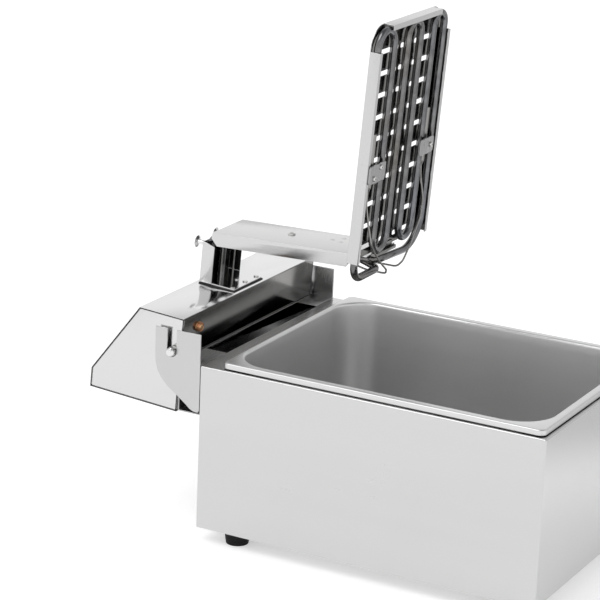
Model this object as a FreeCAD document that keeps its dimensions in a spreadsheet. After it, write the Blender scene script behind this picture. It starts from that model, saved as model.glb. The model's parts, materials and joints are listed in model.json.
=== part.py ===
import FreeCAD, Part
import math
import os
import Sketcher

# Countertop deep fryer with a tilt-back head, in millimetres, +Z up.
# +X runs from the hinge side (rear) to the front of the casing, Y across the casing.
# The origin is the middle of the overall box, at the height the feet stand on.
# The head is drawn in its own coordinates and then placed: u forward, v up, y across,
# measured from the pivot pins' axis, as it lies when the element is down in the pan.

V3 = FreeCAD.Vector
doc = FreeCAD.newDocument("deep_fryer")
sheet = doc.addObject("Spreadsheet::Sheet", "dims")
P = {}

DIMS = [
    # casing
    ("casing_len", 376.0), ("casing_wid", 285.0), ("casing_hgt", 172.8), ("casing_skin", 1.2),
    ("casing_bend", 1.6), ("open_x_lo", 25.6), ("open_x_hi", 364.2), ("open_y_lo", 11.6),
    ("base_skin", 1.2), ("base_gap", 0.1), ("base_turnup", 8.4),
    # oil pan
    ("pan_x_lo", 27.4), ("pan_x_hi", 362.0), ("pan_y_lo", 14.0), ("pan_corner", 38.0),
    ("pan_draft_deg", 5.0), ("pan_floor_z", 10.5), ("pan_skin", 1.0), ("pan_floor_bend", 20.0),
    ("rim_x_lo", 22.4), ("rim_x_hi", 371.6), ("rim_y_lo", 4.0), ("rim_top_z", 179.6),
    ("rim_lip_z", 174.0), ("rim_corner", 7.0), ("rim_mouth_bend", 2.5),
    # feet
    ("foot_top_rad", 13.9), ("foot_low_rad", 11.6), ("foot_hgt", 15.0), ("foot_x_in", 38.0),
    ("foot_y_in", 20.0), ("foot_hole_rad", 2.2), ("foot_well_rad", 5.4), ("foot_well_dep", 7.0),
    # rear bracket and ears
    ("brk_x_lo", -25.4), ("brk_skin", 1.2), ("brk_z_lo", 120.0), ("brk_tab_near", 51.8),
    ("ear_skin", 1.5), ("ear_top", 32.2), ("slot_half", 5.5), ("rivet_rad", 2.8),
    # pivot
    ("pin_x", -33.6), ("pin_z", 181.5), ("tilt_deg", 86.1), ("stud_rad", 3.0),
    ("roller_rad", 4.8), ("roller_bore", 3.08),
    # head box
    ("head_y_lo", 5.0), ("head_skin", 1.0), ("head_u_front", 35.1), ("head_v_low", -8.4),
    ("head_v_knee", 44.1), ("head_u_knee", -43.4), ("head_v_top", 95.3), ("head_u_rear", -64.3),
    # riser and drop cover
    ("riser_v_out", 38.1), ("riser_v_in", 23.7), ("riser_y_lo", 112.1), ("riser_wid", 60.6),
    ("riser_u_end", 81.0), ("riser_skin", 1.0), ("drop_deg", 5.56), ("drop_web_u", 94.8),
    ("drop_web_v", 15.5), ("drop_depth", 14.2),
    # guard plate
    ("plate_v", -151.2), ("plate_skin", 1.0), ("plate_u_lo", 114.0), ("plate_u_hi", 353.9),
    ("plate_y_lo", 65.9), ("plate_wid", 157.2), ("skirt_dep", 11.7), ("skirt_u_hi", 329.5),
    ("return_len", 5.4), ("slot_pitch", 22.3), ("slot_high", 5.0), ("slot_first", 124.3),
    # element
    ("tube_rad", 3.8), ("tube_v", -157.2), ("tube_u_top", 348.3), ("tube_u_low", 118.0),
    # knob and button
    ("knob_rad", 18.0), ("knob_hgt", 15.0), ("button_rad", 4.0), ("button_out", 5.0),
    ("plunger_rad", 5.5), ("plunger_out", 4.6),
    # where the working origin (rear near lower corner of the casing) sits in the final frame
    ("org_x", -121.35), ("org_y", -142.5),
]
for row, (name, value) in enumerate(DIMS, start=1):
    sheet.set("A%d" % row, name)
    sheet.set("B%d" % row, repr(value))
    sheet.setAlias("B%d" % row, name)
    P[name] = value
doc.recompute()


class Q:
    """A size with its value and the sheet expression that gives it."""

    def __init__(self, val, txt):
        self.val = float(val)
        self.txt = txt

    @staticmethod
    def of(x):
        return x if isinstance(x, Q) else Q(x, repr(float(x)))

    def __add__(self, o):
        o = Q.of(o)
        return Q(self.val + o.val, "(%s + %s)" % (self.txt, o.txt))

    __radd__ = __add__

    def __sub__(self, o):
        o = Q.of(o)
        return Q(self.val - o.val, "(%s - %s)" % (self.txt, o.txt))

    def __rsub__(self, o):
        return Q.of(o) - self

    def __mul__(self, o):
        o = Q.of(o)
        return Q(self.val * o.val, "(%s * %s)" % (self.txt, o.txt))

    __rmul__ = __mul__

    def __truediv__(self, o):
        o = Q.of(o)
        return Q(self.val / o.val, "(%s / %s)" % (self.txt, o.txt))

    def __neg__(self):
        return Q(-self.val, "(0 - %s)" % self.txt)


def d(name):
    return Q(P[name], "dims." + name)


W = d("casing_wid")
ORIGIN = V3(P["org_x"], P["org_y"], P["foot_hgt"])
PIN = V3(P["pin_x"], 0, P["pin_z"])
BASE_PL = FreeCAD.Placement(ORIGIN, FreeCAD.Rotation())
HEAD_PL = FreeCAD.Placement(ORIGIN + PIN, FreeCAD.Rotation(V3(0, 1, 0), -P["tilt_deg"]))
nodes = []


def node(obj, label, pl=None):
    obj.Label = label
    if pl is not None:
        obj.Placement = pl
    nodes.append(obj)
    return obj


# ---------------------------------------------------------------- PartDesign helpers
def new_body(name):
    return doc.addObject("PartDesign::Body", name + "_body")


def sketch(body, role, name):
    plane = [f for f in body.Origin.OriginFeatures if f.Role == role][0]
    sk = body.newObject("Sketcher::SketchObject", name)
    sk.AttachmentSupport = [(plane, "")]
    sk.MapMode = "FlatFace"
    return sk


def loop(sk, pts):
    """Closed outline whose corners are all driven from the sheet."""
    pts = [(Q.of(a), Q.of(b)) for a, b in pts]
    n = len(pts)
    first = sk.GeometryCount
    for i in range(n):
        a, b = pts[i], pts[(i + 1) % n]
        sk.addGeometry(Part.LineSegment(V3(a[0].val, a[1].val, 0), V3(b[0].val, b[1].val, 0)), False)
    for i in range(n):
        sk.addConstraint(Sketcher.Constraint("Coincident", first + i, 2, first + (i + 1) % n, 1))
    for i in range(n):
        for kind, k in (("DistanceX", 0), ("DistanceY", 1)):
            q = pts[i][k]
            idx = sk.addConstraint(Sketcher.Constraint(kind, -1, 1, first + i, 1, q.val))
            if "dims" in q.txt:
                sk.setExpression("Constraints[%d]" % idx, q.txt)


def circle(sk, cx, cy, r):
    cx, cy, r = Q.of(cx), Q.of(cy), Q.of(r)
    g = sk.addGeometry(Part.Circle(V3(cx.val, cy.val, 0), V3(0, 0, 1), r.val), False)
    for kind, q in (("DistanceX", cx), ("DistanceY", cy)):
        idx = sk.addConstraint(Sketcher.Constraint(kind, -1, 1, g, 3, q.val))
        if "dims" in q.txt:
            sk.setExpression("Constraints[%d]" % idx, q.txt)
    idx = sk.addConstraint(Sketcher.Constraint("Radius", g, r.val))
    if "dims" in r.txt:
        sk.setExpression("Constraints[%d]" % idx, r.txt)


def bind(obj, prop, q):
    q = Q.of(q)
    if prop in ("Length", "Length2", "Width", "Height", "Radius", "Radius1", "Radius2", "Offset"):
        setattr(obj, prop, q.val)
    if "dims" in q.txt:
        obj.setExpression(prop, q.txt)


def shift(sk, axis, q):
    """Moves an attached sketch along its own normal or axes."""
    q = Q.of(q)
    vec = {"x": V3(q.val, 0, 0), "y": V3(0, q.val, 0), "z": V3(0, 0, q.val)}[axis]
    sk.AttachmentOffset = FreeCAD.Placement(vec, FreeCAD.Rotation())
    if "dims" in q.txt:
        sk.setExpression("AttachmentOffset.Base." + axis, q.txt)


def pad(body, sk, q, name, back=False):
    f = body.newObject("PartDesign::Pad", name)
    f.Profile = sk
    bind(f, "Length", q)
    f.Reversed = back
    doc.recompute()
    return f


def pocket(body, sk, q, name, back=False, through=False):
    before = body.Shape.Volume
    f = body.newObject("PartDesign::Pocket", name)
    f.Profile = sk
    if through:
        f.Type = 1
        f.Midplane = True
    else:
        bind(f, "Length", q)
    f.Reversed = back
    doc.recompute()
    if not body.Shape.Volume < before - 0.5:
        raise RuntimeError("pocket %s cuts nothing" % name)
    return f


def xz_pad(body, pts, y0, length, name):
    """Outline in X and Z, from y0 towards +Y."""
    sk = sketch(body, "XZ_Plane", name + "_outline")
    loop(sk, pts)
    shift(sk, "z", -Q.of(y0))
    return pad(body, sk, length, name, back=True)


def xz_cut(body, pts, y0, length, name):
    sk = sketch(body, "XZ_Plane", name + "_outline")
    if isinstance(pts, tuple):
        circle(sk, *pts)
    else:
        loop(sk, pts)
    shift(sk, "z", -Q.of(y0))
    return pocket(body, sk, length, name, back=False)


def xy_pad(body, pts, z0, length, name):
    sk = sketch(body, "XY_Plane", name + "_outline")
    if isinstance(pts, tuple):
        circle(sk, *pts)
    else:
        loop(sk, pts)
    shift(sk, "z", z0)
    return pad(body, sk, length, name)


def xy_cut(body, pts, z0, length, name):
    """Cuts upwards from z0."""
    sk = sketch(body, "XY_Plane", name + "_outline")
    if isinstance(pts, tuple):
        circle(sk, *pts)
    else:
        loop(sk, pts)
    shift(sk, "z", z0)
    return pocket(body, sk, length, name, back=True)


def yz_pad(body, pts, x0, length, name):
    sk = sketch(body, "YZ_Plane", name + "_outline")
    if isinstance(pts, tuple):
        circle(sk, *pts)
    else:
        loop(sk, pts)
    shift(sk, "z", x0)
    return pad(body, sk, length, name)


def yz_cut(body, pts, x0, length, name):
    """Cuts towards +X from x0."""
    sk = sketch(body, "YZ_Plane", name + "_outline")
    if isinstance(pts, tuple):
        circle(sk, *pts)
    else:
        loop(sk, pts)
    shift(sk, "z", x0)
    return pocket(body, sk, length, name, back=True)


def rect(a0, b0, a1, b1):
    return [(a0, b0), (a1, b0), (a1, b1), (a0, b1)]


def revolve(body, pts, name):
    """Outline in X (radius) and Z, turned about Z."""
    sk = sketch(body, "XZ_Plane", name + "_outline")
    loop(sk, pts)
    f = body.newObject("PartDesign::Revolution", name)
    f.Profile = sk
    f.ReferenceAxis = (sk, ["V_Axis"])
    f.Angle = 360.0
    doc.recompute()
    return f


# ---------------------------------------------------------------- Part helpers
def box(name, p, size):
    o = doc.addObject("Part::Box", name)
    for prop, q in zip(("Length", "Width", "Height"), size):
        bind(o, prop, q)
    p = [Q.of(q) for q in p]
    o.Placement = FreeCAD.Placement(V3(p[0].val, p[1].val, p[2].val), FreeCAD.Rotation())
    for ax, q in zip("xyz", p):
        if "dims" in q.txt:
            o.setExpression("Placement.Base." + ax, q.txt)
    return o


def cyl(name, p, direction, r, length):
    o = doc.addObject("Part::Cylinder", name)
    bind(o, "Radius", r)
    bind(o, "Height", length)
    rot = {"x": FreeCAD.Rotation(V3(0, 1, 0), 90), "y": FreeCAD.Rotation(V3(1, 0, 0), -90),
           "z": FreeCAD.Rotation()}[direction]
    p = [Q.of(q) for q in p]
    o.Placement = FreeCAD.Placement(V3(p[0].val, p[1].val, p[2].val), rot)
    for ax, q in zip("xyz", p):
        if "dims" in q.txt:
            o.setExpression("Placement.Base." + ax, q.txt)
    return o


def cut(name, base, tool):
    o = doc.addObject("Part::Cut", name)
    o.Base = base
    o.Tool = tool
    return o


def fuse(name, parts):
    o = doc.addObject("Part::MultiFuse", name)
    o.Shapes = parts
    return o


def group(name, parts):
    o = doc.addObject("Part::Compound", name)
    o.Links = parts
    return o


def feature(name, shape, label, pl):
    o = doc.addObject("Part::Feature", name)
    o.Shape = shape
    return node(o, label, pl)


def rounded_rect_wire(x0, y0, x1, y1, r, z):
    e = []
    k = r * (1 - math.sqrt(0.5))
    pts = [((x0 + r, y0), (x1 - r, y0)), ((x1, y0 + r), (x1, y1 - r)),
           ((x1 - r, y1), (x0 + r, y1)), ((x0, y1 - r), (x0, y0 + r))]
    mids = [(x1 - k, y0 + k), (x1 - k, y1 - k), (x0 + k, y1 - k), (x0 + k, y0 + k)]
    for i in range(4):
        a, b = pts[i]
        e.append(Part.LineSegment(V3(a[0], a[1], z), V3(b[0], b[1], z)).toShape())
        c = pts[(i + 1) % 4][0]
        m = mids[i]
        e.append(Part.Arc(V3(b[0], b[1], z), V3(m[0], m[1], z), V3(c[0], c[1], z)).toShape())
    return Part.Wire(e)


def route(points, radii):
    """Straight runs joined by tangent arcs. Returns the wire and its length."""
    pts = [V3(*p) for p in points]
    edges = []
    here = pts[0]
    for i in range(1, len(pts) - 1):
        a = (pts[i - 1] - pts[i]).normalize()
        b = (pts[i + 1] - pts[i]).normalize()
        half = math.acos(max(-1.0, min(1.0, a.dot(b)))) / 2.0
        r = radii[i - 1]
        back = r / math.tan(half)
        t0 = pts[i] + a * back
        t1 = pts[i] + b * back
        bis = (a + b).normalize()
        centre = pts[i] + bis * (r / math.sin(half))
        mid = centre - bis * r
        if (t0 - here).Length > 1e-3:
            edges.append(Part.LineSegment(here, t0).toShape())
        edges.append(Part.Arc(t0, mid, t1).toShape())
        here = t1
    edges.append(Part.LineSegment(here, pts[-1]).toShape())
    w = Part.Wire(edges)
    return w, w.Length


def tube_along(points, radii, r, label):
    w, length = route(points, radii)
    e0 = w.Edges[0]
    start = e0.valueAt(e0.FirstParameter)
    tang = e0.tangentAt(e0.FirstParameter)
    prof = Part.Wire([Part.Circle(start, tang, r).toShape()])
    s = w.makePipeShell([prof], True, False)
    want = math.pi * r * r * length
    if not s.isValid() or abs(s.Volume - want) > 0.01 * want:
        raise RuntimeError("%s: tube volume %.1f, expected %.1f" % (label, s.Volume, want))
    return s, length


# ================================================================ BASE
sk_t = d("casing_skin")
L, H = d("casing_len"), d("casing_hgt")

# Casing: one folded and welded stainless skin, open below, with a rectangular pan opening on top.
outer = box("casing_block", (0, 0, 0), (L, W, H))
inner = box("casing_hollow", (sk_t, sk_t, -1), (L - 2 * sk_t, W - 2 * sk_t, H - sk_t + 1))
shell = cut("casing_skin_box", outer, inner)
hole = box("casing_opening", (d("open_x_lo"), d("open_y_lo"), H - 5),
           (d("open_x_hi") - d("open_x_lo"), W - 2 * d("open_y_lo"), 10))
shell2 = cut("casing_open_box", shell, hole)
doc.recompute()
rounds = []
for i, e in enumerate(shell2.Shape.Edges, start=1):
    bb = e.BoundBox
    on_x = min(abs(bb.XMin), abs(bb.XMin - L.val)) < 1e-6 and bb.XLength < 1e-6
    on_y = min(abs(bb.YMin), abs(bb.YMin - W.val)) < 1e-6 and bb.YLength < 1e-6
    on_top = abs(bb.ZMin - H.val) < 1e-6 and bb.ZLength < 1e-6
    vertical = bb.ZLength > 100 and on_x and on_y
    if vertical or (on_top and (on_x or on_y)):
        rounds.append((i, P["casing_bend"], P["casing_bend"]))
casing = doc.addObject("Part::Fillet", "casing_rounded")
casing.Base = shell2
casing.Edges = rounds
node(casing, "casing_shell", BASE_PL)

# Base plate: tray folded up inside the casing.
g = d("casing_skin") + d("base_gap")
tray = box("tray_block", (g, g, 0), (L - 2 * g, W - 2 * g, d("base_turnup")))
tray_in = box("tray_hollow", (g + d("base_skin"), g + d("base_skin"), d("base_skin")),
              (L - 2 * g - 2 * d("base_skin"), W - 2 * g - 2 * d("base_skin"), 30))
tray_cut = cut("tray", tray, tray_in)
feet_xy = [(d("foot_x_in"), d("foot_y_in")), (d("foot_x_in"), W - d("foot_y_in")),
           (L - d("foot_x_in"), d("foot_y_in")), (L - d("foot_x_in"), W - d("foot_y_in"))]
holes = [cyl("tray_hole_%d" % i, (x, y, -5), "z", d("foot_hole_rad"), 20)
         for i, (x, y) in enumerate(feet_xy)]
vents = [box("tray_vent_%d" % i, (L / 2 - 44 + 20 * i, W / 2 - 30, -5), (7, 60, 20)) for i in range(5)]
node(cut("tray_drilled", tray_cut, group("tray_holes", holes + vents)), "base_plate", BASE_PL)

# Rubber feet: tapered, with a counterbored screw hole.
foot_parts = []
screw_parts = []
for i, (x, y) in enumerate(feet_xy):
    cone = doc.addObject("Part::Cone", "foot_cone_%d" % i)
    bind(cone, "Radius1", d("foot_low_rad"))
    bind(cone, "Radius2", d("foot_top_rad"))
    bind(cone, "Height", d("foot_hgt") - 0.1)
    cone.Placement = FreeCAD.Placement(V3(x.val, y.val, -P["foot_hgt"]), FreeCAD.Rotation())
    cone.setExpression("Placement.Base.x", x.txt)
    cone.setExpression("Placement.Base.y", y.txt)
    cone.setExpression("Placement.Base.z", "0 - dims.foot_hgt")
    bore = cyl("foot_bore_%d" % i, (x, y, -20), "z", d("foot_hole_rad"), 30)
    well = cyl("foot_well_%d" % i, (x, y, -(d("foot_hgt")) - 1), "z", d("foot_well_rad"),
               d("foot_well_dep") + 1)
    foot_parts.append(cut("foot_%d" % i, cone, fuse("foot_holes_%d" % i, [bore, well])))
    hd = cyl("fscrew_head_%d" % i, (x, y, -(d("foot_hgt")) + d("foot_well_dep") - 3.0), "z", 4.2, 2.9)
    sh = cyl("fscrew_shank_%d" % i, (x, y, -(d("foot_hgt")) + d("foot_well_dep") - 0.2), "z", 2.0,
             d("foot_hgt") - d("foot_well_dep") + 6.0)
    nut = cyl("fscrew_nut_%d" % i, (x, y, d("base_skin") + 0.1), "z", 3.8, 3.2)
    screw_parts.append(fuse("fscrew_%d" % i, [hd, sh, nut]))
node(group("feet", foot_parts), "rubber_feet", BASE_PL)
node(group("foot_screw_set", screw_parts), "foot_screws", BASE_PL)

# Rear bracket: cross plate a little behind the casing, a folded floor, and two tabs on top.
rb = new_body("rear_bracket")
bx, bt, bz = d("brk_x_lo"), d("brk_skin"), d("brk_z_lo")
by0 = d("ear_skin") + 0.1
xz_pad(rb, [(bx, bz), (-0.1, bz), (-0.1, bz + bt), (bx + bt, bz + bt), (bx + bt, H - bt), (-0.1, H - bt),
            (-0.1, H), (bx, H)], by0, W - 2 * by0, "channel")
xy_cut(rb, rect(bx + bt + 0.001, d("brk_tab_near"), 1, W - d("brk_tab_near") + 13.5), H - 4, 10, "top_gap")
node(rb, "rear_bracket", BASE_PL)

# Ear plates: gusseted plates with an open-topped slot for the pivot, and a fold riveted to the casing.
zr = lambda k: H + k
ear_outline = [(-0.1, H - 47.5), (-0.1, H + d("ear_top")), (-52.8, H + d("ear_top")), (-52.8, zr(5.8)),
               (-52.2, zr(-5.0)), (-49.6, zr(-14.0)), (-45.2, zr(-21.0)), (-38.0, zr(-28.4)),
               (-26.0, zr(-36.5)), (-15.0, zr(-44.6)), (-11.6, zr(-47.6)), (-7.7, zr(-49.6)),
               (-3.4, zr(-50.2)), (-1.2, zr(-49.8))]
for side in ("near", "far"):
    ear = new_body("ear_plate_" + side)
    y0 = Q.of(0) if side == "near" else W - d("ear_skin")
    xz_pad(ear, ear_outline, y0, d("ear_skin"), "plate")
    cx, cz, sh2 = d("pin_x"), d("pin_z"), d("slot_half")
    xz_cut(ear, rect(cx - sh2, cz, cx + sh2, H + 60), y0 - 1, d("ear_skin") + 2, "slot")
    xz_cut(ear, (cx, cz, sh2), y0 - 1, d("ear_skin") + 2, "slot_seat")
    fold0 = d("ear_skin") - 0.3 if side == "near" else W - d("ear_skin") - 14
    yz_pad(ear, rect(fold0, H - 44, fold0 + 14.3, H - 5), -1.4, 1.3, "fold")
    node(ear, "ear_plate_" + side, BASE_PL)

rivets = []
for i, yy in enumerate((9.0, W - 9.0)):
    for j, zz in enumerate((H - 12, H - 25, H - 37)):
        head_r = cyl("rivet_head_%d%d" % (i, j), (-2.5, yy, zz), "x", d("rivet_rad"), 1.05)
        rivets.append(head_r)
node(group("rivet_set", rivets), "ear_rivets", BASE_PL)

# Oil pan: deep-drawn stainless pan with drafted walls, a wide floor bend and a folded rim.
draft = math.tan(math.radians(P["pan_draft_deg"]))
depth = P["rim_top_z"] - P["pan_floor_z"]
px0, px1, py0 = P["pan_x_lo"], P["pan_x_hi"], P["pan_y_lo"]
py1 = P["casing_wid"] - py0


def pan_block(grow, z_top, z_low, bend):
    run = (P["rim_top_z"] - z_low) * draft
    off = (z_top - P["rim_top_z"]) * draft
    rc = P["pan_corner"] + grow
    top = rounded_rect_wire(px0 - grow - off, py0 - grow - off, px1 + grow + off, py1 + grow + off, rc, z_top)
    low = rounded_rect_wire(px0 - grow + run, py0 - grow + run, px1 + grow - run, py1 + grow - run,
                            rc - 0.45 * run, z_low)
    s = Part.makeLoft([top, low], True, True)
    if bend:
        ed = [e for e in s.Edges if abs(e.BoundBox.ZMax - z_low) < 1e-5]
        s = s.makeFillet(bend, ed)
    return s


skin = P["pan_skin"]
solid_out = pan_block(skin, P["rim_top_z"] - 0.2, P["pan_floor_z"] - skin, P["pan_floor_bend"] + skin)
solid_in = pan_block(0.0, P["rim_top_z"] + 0.0, P["pan_floor_z"], P["pan_floor_bend"])
rim_o = Part.Face(rounded_rect_wire(P["rim_x_lo"], P["rim_y_lo"], P["rim_x_hi"], P["casing_wid"] - P["rim_y_lo"],
                                    P["rim_corner"], P["rim_lip_z"])).extrude(V3(0, 0, P["rim_top_z"] - P["rim_lip_z"]))
rim_i = Part.Face(rounded_rect_wire(P["rim_x_lo"] + skin, P["rim_y_lo"] + skin, P["rim_x_hi"] - skin,
                                    P["casing_wid"] - P["rim_y_lo"] - skin, P["rim_corner"] - skin,
                                    P["rim_lip_z"] - 1)).extrude(V3(0, 0, P["rim_top_z"] - skin - P["rim_lip_z"] + 1))
rim = rim_o.cut(rim_i)
rim_edges = [e for e in rim.Edges if abs(e.BoundBox.ZMin - P["rim_top_z"]) < 1e-5]
rim = rim.makeFillet(0.9, rim_edges)
pan = rim.fuse(solid_out).cut(solid_in).removeSplitter()


def flat_edges(shape, z, inset):
    """Level edges at height z that lie more than inset inside the rim's outline."""
    out = []
    for e in shape.Edges:
        b = e.BoundBox
        if (abs(b.ZMin - z) < 1e-4 and b.ZLength < 1e-4 and b.XMin > P["rim_x_lo"] + inset
                and b.XMax < P["rim_x_hi"] - inset and b.YMin > P["rim_y_lo"] + inset
                and b.YMax < P["casing_wid"] - P["rim_y_lo"] - inset):
            out.append(e)
    return out


# The sheet rolls over from the rim into the walls: bend radius below the rim first, then above it.
pan = pan.makeFillet(2.2, flat_edges(pan, P["rim_top_z"] - skin, 2.2))
pan = pan.makeFillet(3.0, flat_edges(pan, P["rim_top_z"], 2.4))
if not pan.isValid() or len(pan.Solids) != 1:
    raise RuntimeError("oil pan is not one valid solid")
feature("oil_pan_shape", pan, "oil_pan", BASE_PL)

# ================================================================ PIVOT
# Rollers: plain bushes that sit in the ear slots and turn on the head's studs.
for_side = (("near", Q.of(0.25)), ("far", W - 0.25 - 4.4))
rollers = []
for side, y0 in for_side:
    ro = cyl("roller_" + side, (d("pin_x"), y0, d("pin_z")), "y", d("roller_rad"), 4.4)
    rb_ = cyl("roller_bore_" + side, (d("pin_x"), y0 - 1, d("pin_z")), "y", d("roller_bore"), 8)
    rollers.append(cut("roller_ring_" + side, ro, rb_))
node(group("roller_set", rollers), "pivot_rollers", BASE_PL)

# ================================================================ HEAD
hy0 = d("head_y_lo")
hy1 = W - d("head_y_lo")
hs = d("head_skin")
uf, vl, vk, uk, vt, ur = (d("head_u_front"), d("head_v_low"), d("head_v_knee"), d("head_u_knee"),
                          d("head_v_top"), d("head_u_rear"))
slope_u = P["head_u_knee"] - P["head_u_front"]
slope_v = P["head_v_top"] - P["head_v_knee"]
slope_l = math.hypot(slope_u, slope_v)
slope_dir = V3(slope_u / slope_l, 0, slope_v / slope_l)
slope_nrm = V3(slope_v / slope_l, 0, -slope_u / slope_l)


def on_slope(along, y, out=0.0):
    p = V3(P["head_u_front"], y, P["head_v_knee"]) + slope_dir * along + slope_nrm * out
    return p


# Wrap: front, sloped control panel, top and rear in one sheet.
wrap = new_body("head_wrap")
tk = 0.56   # how far the inner knee points pull in for a one-skin offset
wrap_pts = [(uf, vl), (uf, vk), (uk, vt), (ur, vt), (ur, vl), (ur + hs, vl), (ur + hs, vt - hs),
            (uk - hs * 0.29, vt - hs), (uf - hs, vk - hs * 0.55), (uf - hs, vl)]
xz_pad(wrap, wrap_pts, hy0, W - 2 * hy0, "sheet")
ry0, rw = d("riser_y_lo"), d("riser_wid")
yz_cut(wrap, rect(ry0 + 5, 18, ry0 + rw - 5, 39), uf - 4, 8, "tube_window")
node(wrap, "head_wrap", HEAD_PL)

# Bottom plate between the end caps, with the plunger's hole.
bot = new_body("head_bottom_plate")
xy_pad(bot, rect(ur + hs + 0.05, hy0 + 0.4 + hs + 0.1, uf - hs - 0.05, W - hy0 - hs - 0.5), vl, hs, "sheet")
xy_cut(bot, (20.0, 35.0, d("plunger_rad") + 0.5), vl - 3, 8, "plunger_hole")
node(bot, "head_bottom_plate", HEAD_PL)

# End caps: flat plates on both ends of the box, with a hole for the pivot stud.
def head_outline(k, low):
    """The box's side outline, drawn in by k all round and by low at the bottom."""
    k = Q.of(k)
    return [(uf - k, vl + low), (uf - k, vk - k * 0.55), (uk - k * 0.29, vt - k), (ur + k, vt - k), (ur + k, vl + low)]


for side in ("near", "far"):
    cap = new_body("end_cap_" + side)
    near = side == "near"
    y0 = hy0 + 0.4 if near else W - hy0 - 0.4 - hs
    xz_pad(cap, head_outline(1.75, 0.6), y0, hs, "plate")
    yf = y0 + hs - 0.3 if near else y0 - 9.7
    xz_pad(cap, head_outline(1.08, hs + 0.08), yf, 10.0, "flange_block")
    ym = y0 + hs if near else y0 - 10.5
    xz_cut(cap, head_outline(2.1, hs + 1.1), ym, 10.5, "flange_hollow")
    xz_cut(cap, (0.0, 0.0, d("stud_rad") + 0.05), y0 - 2, hs + 4, "stud_hole")
    node(cap, "end_cap_" + side, HEAD_PL)

# Pivot studs: turned studs through the end caps, with a domed head outside the ears and a nut inside.
stud_len = hy0 + 0.4 + hs + 9.0
for_stud = [(0, -5.2), (2.3, -5.2), (3.7, -4.7), (4.5, -3.6), (4.5, -1.7), (4.0, -1.3), (4.0, -0.9), (d("stud_rad"), -0.9),
            (d("stud_rad"), hy0 + 0.4 + hs + 0.1), (5.4, hy0 + 0.4 + hs + 0.1), (5.4, hy0 + 0.4 + hs + 3.9),
            (d("stud_rad"), hy0 + 0.4 + hs + 3.9), (d("stud_rad"), stud_len - 0.6), (d("stud_rad") - 0.6, stud_len), (0, stud_len)]
studs = []
for side in ("near", "far"):
    sb = new_body("pivot_stud_" + side)
    revolve(sb, for_stud, "turned")
    rot = FreeCAD.Rotation(V3(0, 0, 1), V3(0, 1, 0) if side == "near" else V3(0, -1, 0))
    sb.Placement = FreeCAD.Placement(V3(0, 0 if side == "near" else P["casing_wid"], 0), rot)
    studs.append(sb)
node(group("pstud_set", studs), "pivot_studs", HEAD_PL)

# Small screws that hold the bottom plate to the end caps' inner flanges.
cs = []
for i, (uu, yy) in enumerate(((-52, 21), (-52, 264), (24, 60), (24, 225))):
    cs.append(fuse("cap_screw_%d" % i, [
        cyl("cap_screw_shank_%d" % i, (uu, yy, vl + hs + 0.05), "z", 1.5, 5),
        cyl("cap_screw_nut_%d" % i, (uu, yy, vl + hs + 0.05), "z", 3.0, 2.4)]))
node(group("cap_screw_set", cs), "bottom_plate_nuts", HEAD_PL)

# Element mounting flange on the front face, over a gasket, with four screws.
fl_y0, fl_y1, fl_v0, fl_v1 = ry0 + 2.5, ry0 + rw - 1.0, Q.of(-3.0), Q.of(38.4)
gk = new_body("flange_gasket")
yz_pad(gk, rect(fl_y0 - 1.2, fl_v0 - 1.2, fl_y1 + 1.2, fl_v1 + 0.8), uf + 0.02, 1.0, "sheet")
yz_cut(gk, rect(ry0 + 4.6, 18, ry0 + rw - 5.5, 37.6), uf - 3, 8, "window")
node(gk, "flange_gasket", HEAD_PL)
fl = new_body("element_flange")
yz_pad(fl, rect(fl_y0, fl_v0, fl_y1, fl_v1), uf + 1.04, 1.6, "plate")
LEG_Y = (121.0, 148.0)
CAP_Y = (134.5, 161.0)
LEG_V = 33.0
for i, yy in enumerate(LEG_Y):
    yz_cut(fl, (yy, LEG_V, d("tube_rad") + 0.02), uf - 3, 12, "leg_hole_%d" % i)
for i, yy in enumerate(CAP_Y):
    yz_cut(fl, (yy, LEG_V - 7.0, 1.25), uf - 3, 12, "capillary_hole_%d" % i)
node(fl, "element_flange", HEAD_PL)
fs = []
for i, (yy, vv) in enumerate(((118.5, 1.5), (168.5, 1.5), (145.0, 1.5), (145.0, 12.0))):
    fs.append(cyl("flange_screw_%d" % i, (uf + 2.66, yy, vv), "x", 2.6, 1.1))
node(group("flange_screw_set", fs), "flange_screws", HEAD_PL)

# Riser cover: channel from the flange up to the drop cover; its web faces away from the pan side.
rs = new_body("riser_cover")
ru0 = uf + 2.7
rv1, rv0, rt, rue = d("riser_v_out"), d("riser_v_in"), d("riser_skin"), d("riser_u_end")
yz_pad(rs, [(ry0, rv0), (ry0 + rt, rv0), (ry0 + rt, rv1 - rt), (ry0 + rw - rt, rv1 - rt), (ry0 + rw - rt, rv0),
            (ry0 + rw, rv0), (ry0 + rw, rv1), (ry0, rv1)], ru0, rue - ru0 + 3, "channel")
xz_cut(rs, [(rue, rv1 + 2), (rue, rv1 - 3), (rue - 3.4, rv0 - 2), (rue + 10, rv0 - 2), (rue + 10, rv1 + 2)],
       ry0 - 1, rw + 2, "top_mitre")
node(rs, "riser_cover", HEAD_PL)

# Drop cover: wider channel from the riser down to the guard plate, leaning with the pan's rear wall.
lean = math.tan(math.radians(P["drop_deg"]))


def web_u(v):
    return P["drop_web_u"] + lean * (P["drop_web_v"] - v)


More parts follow.
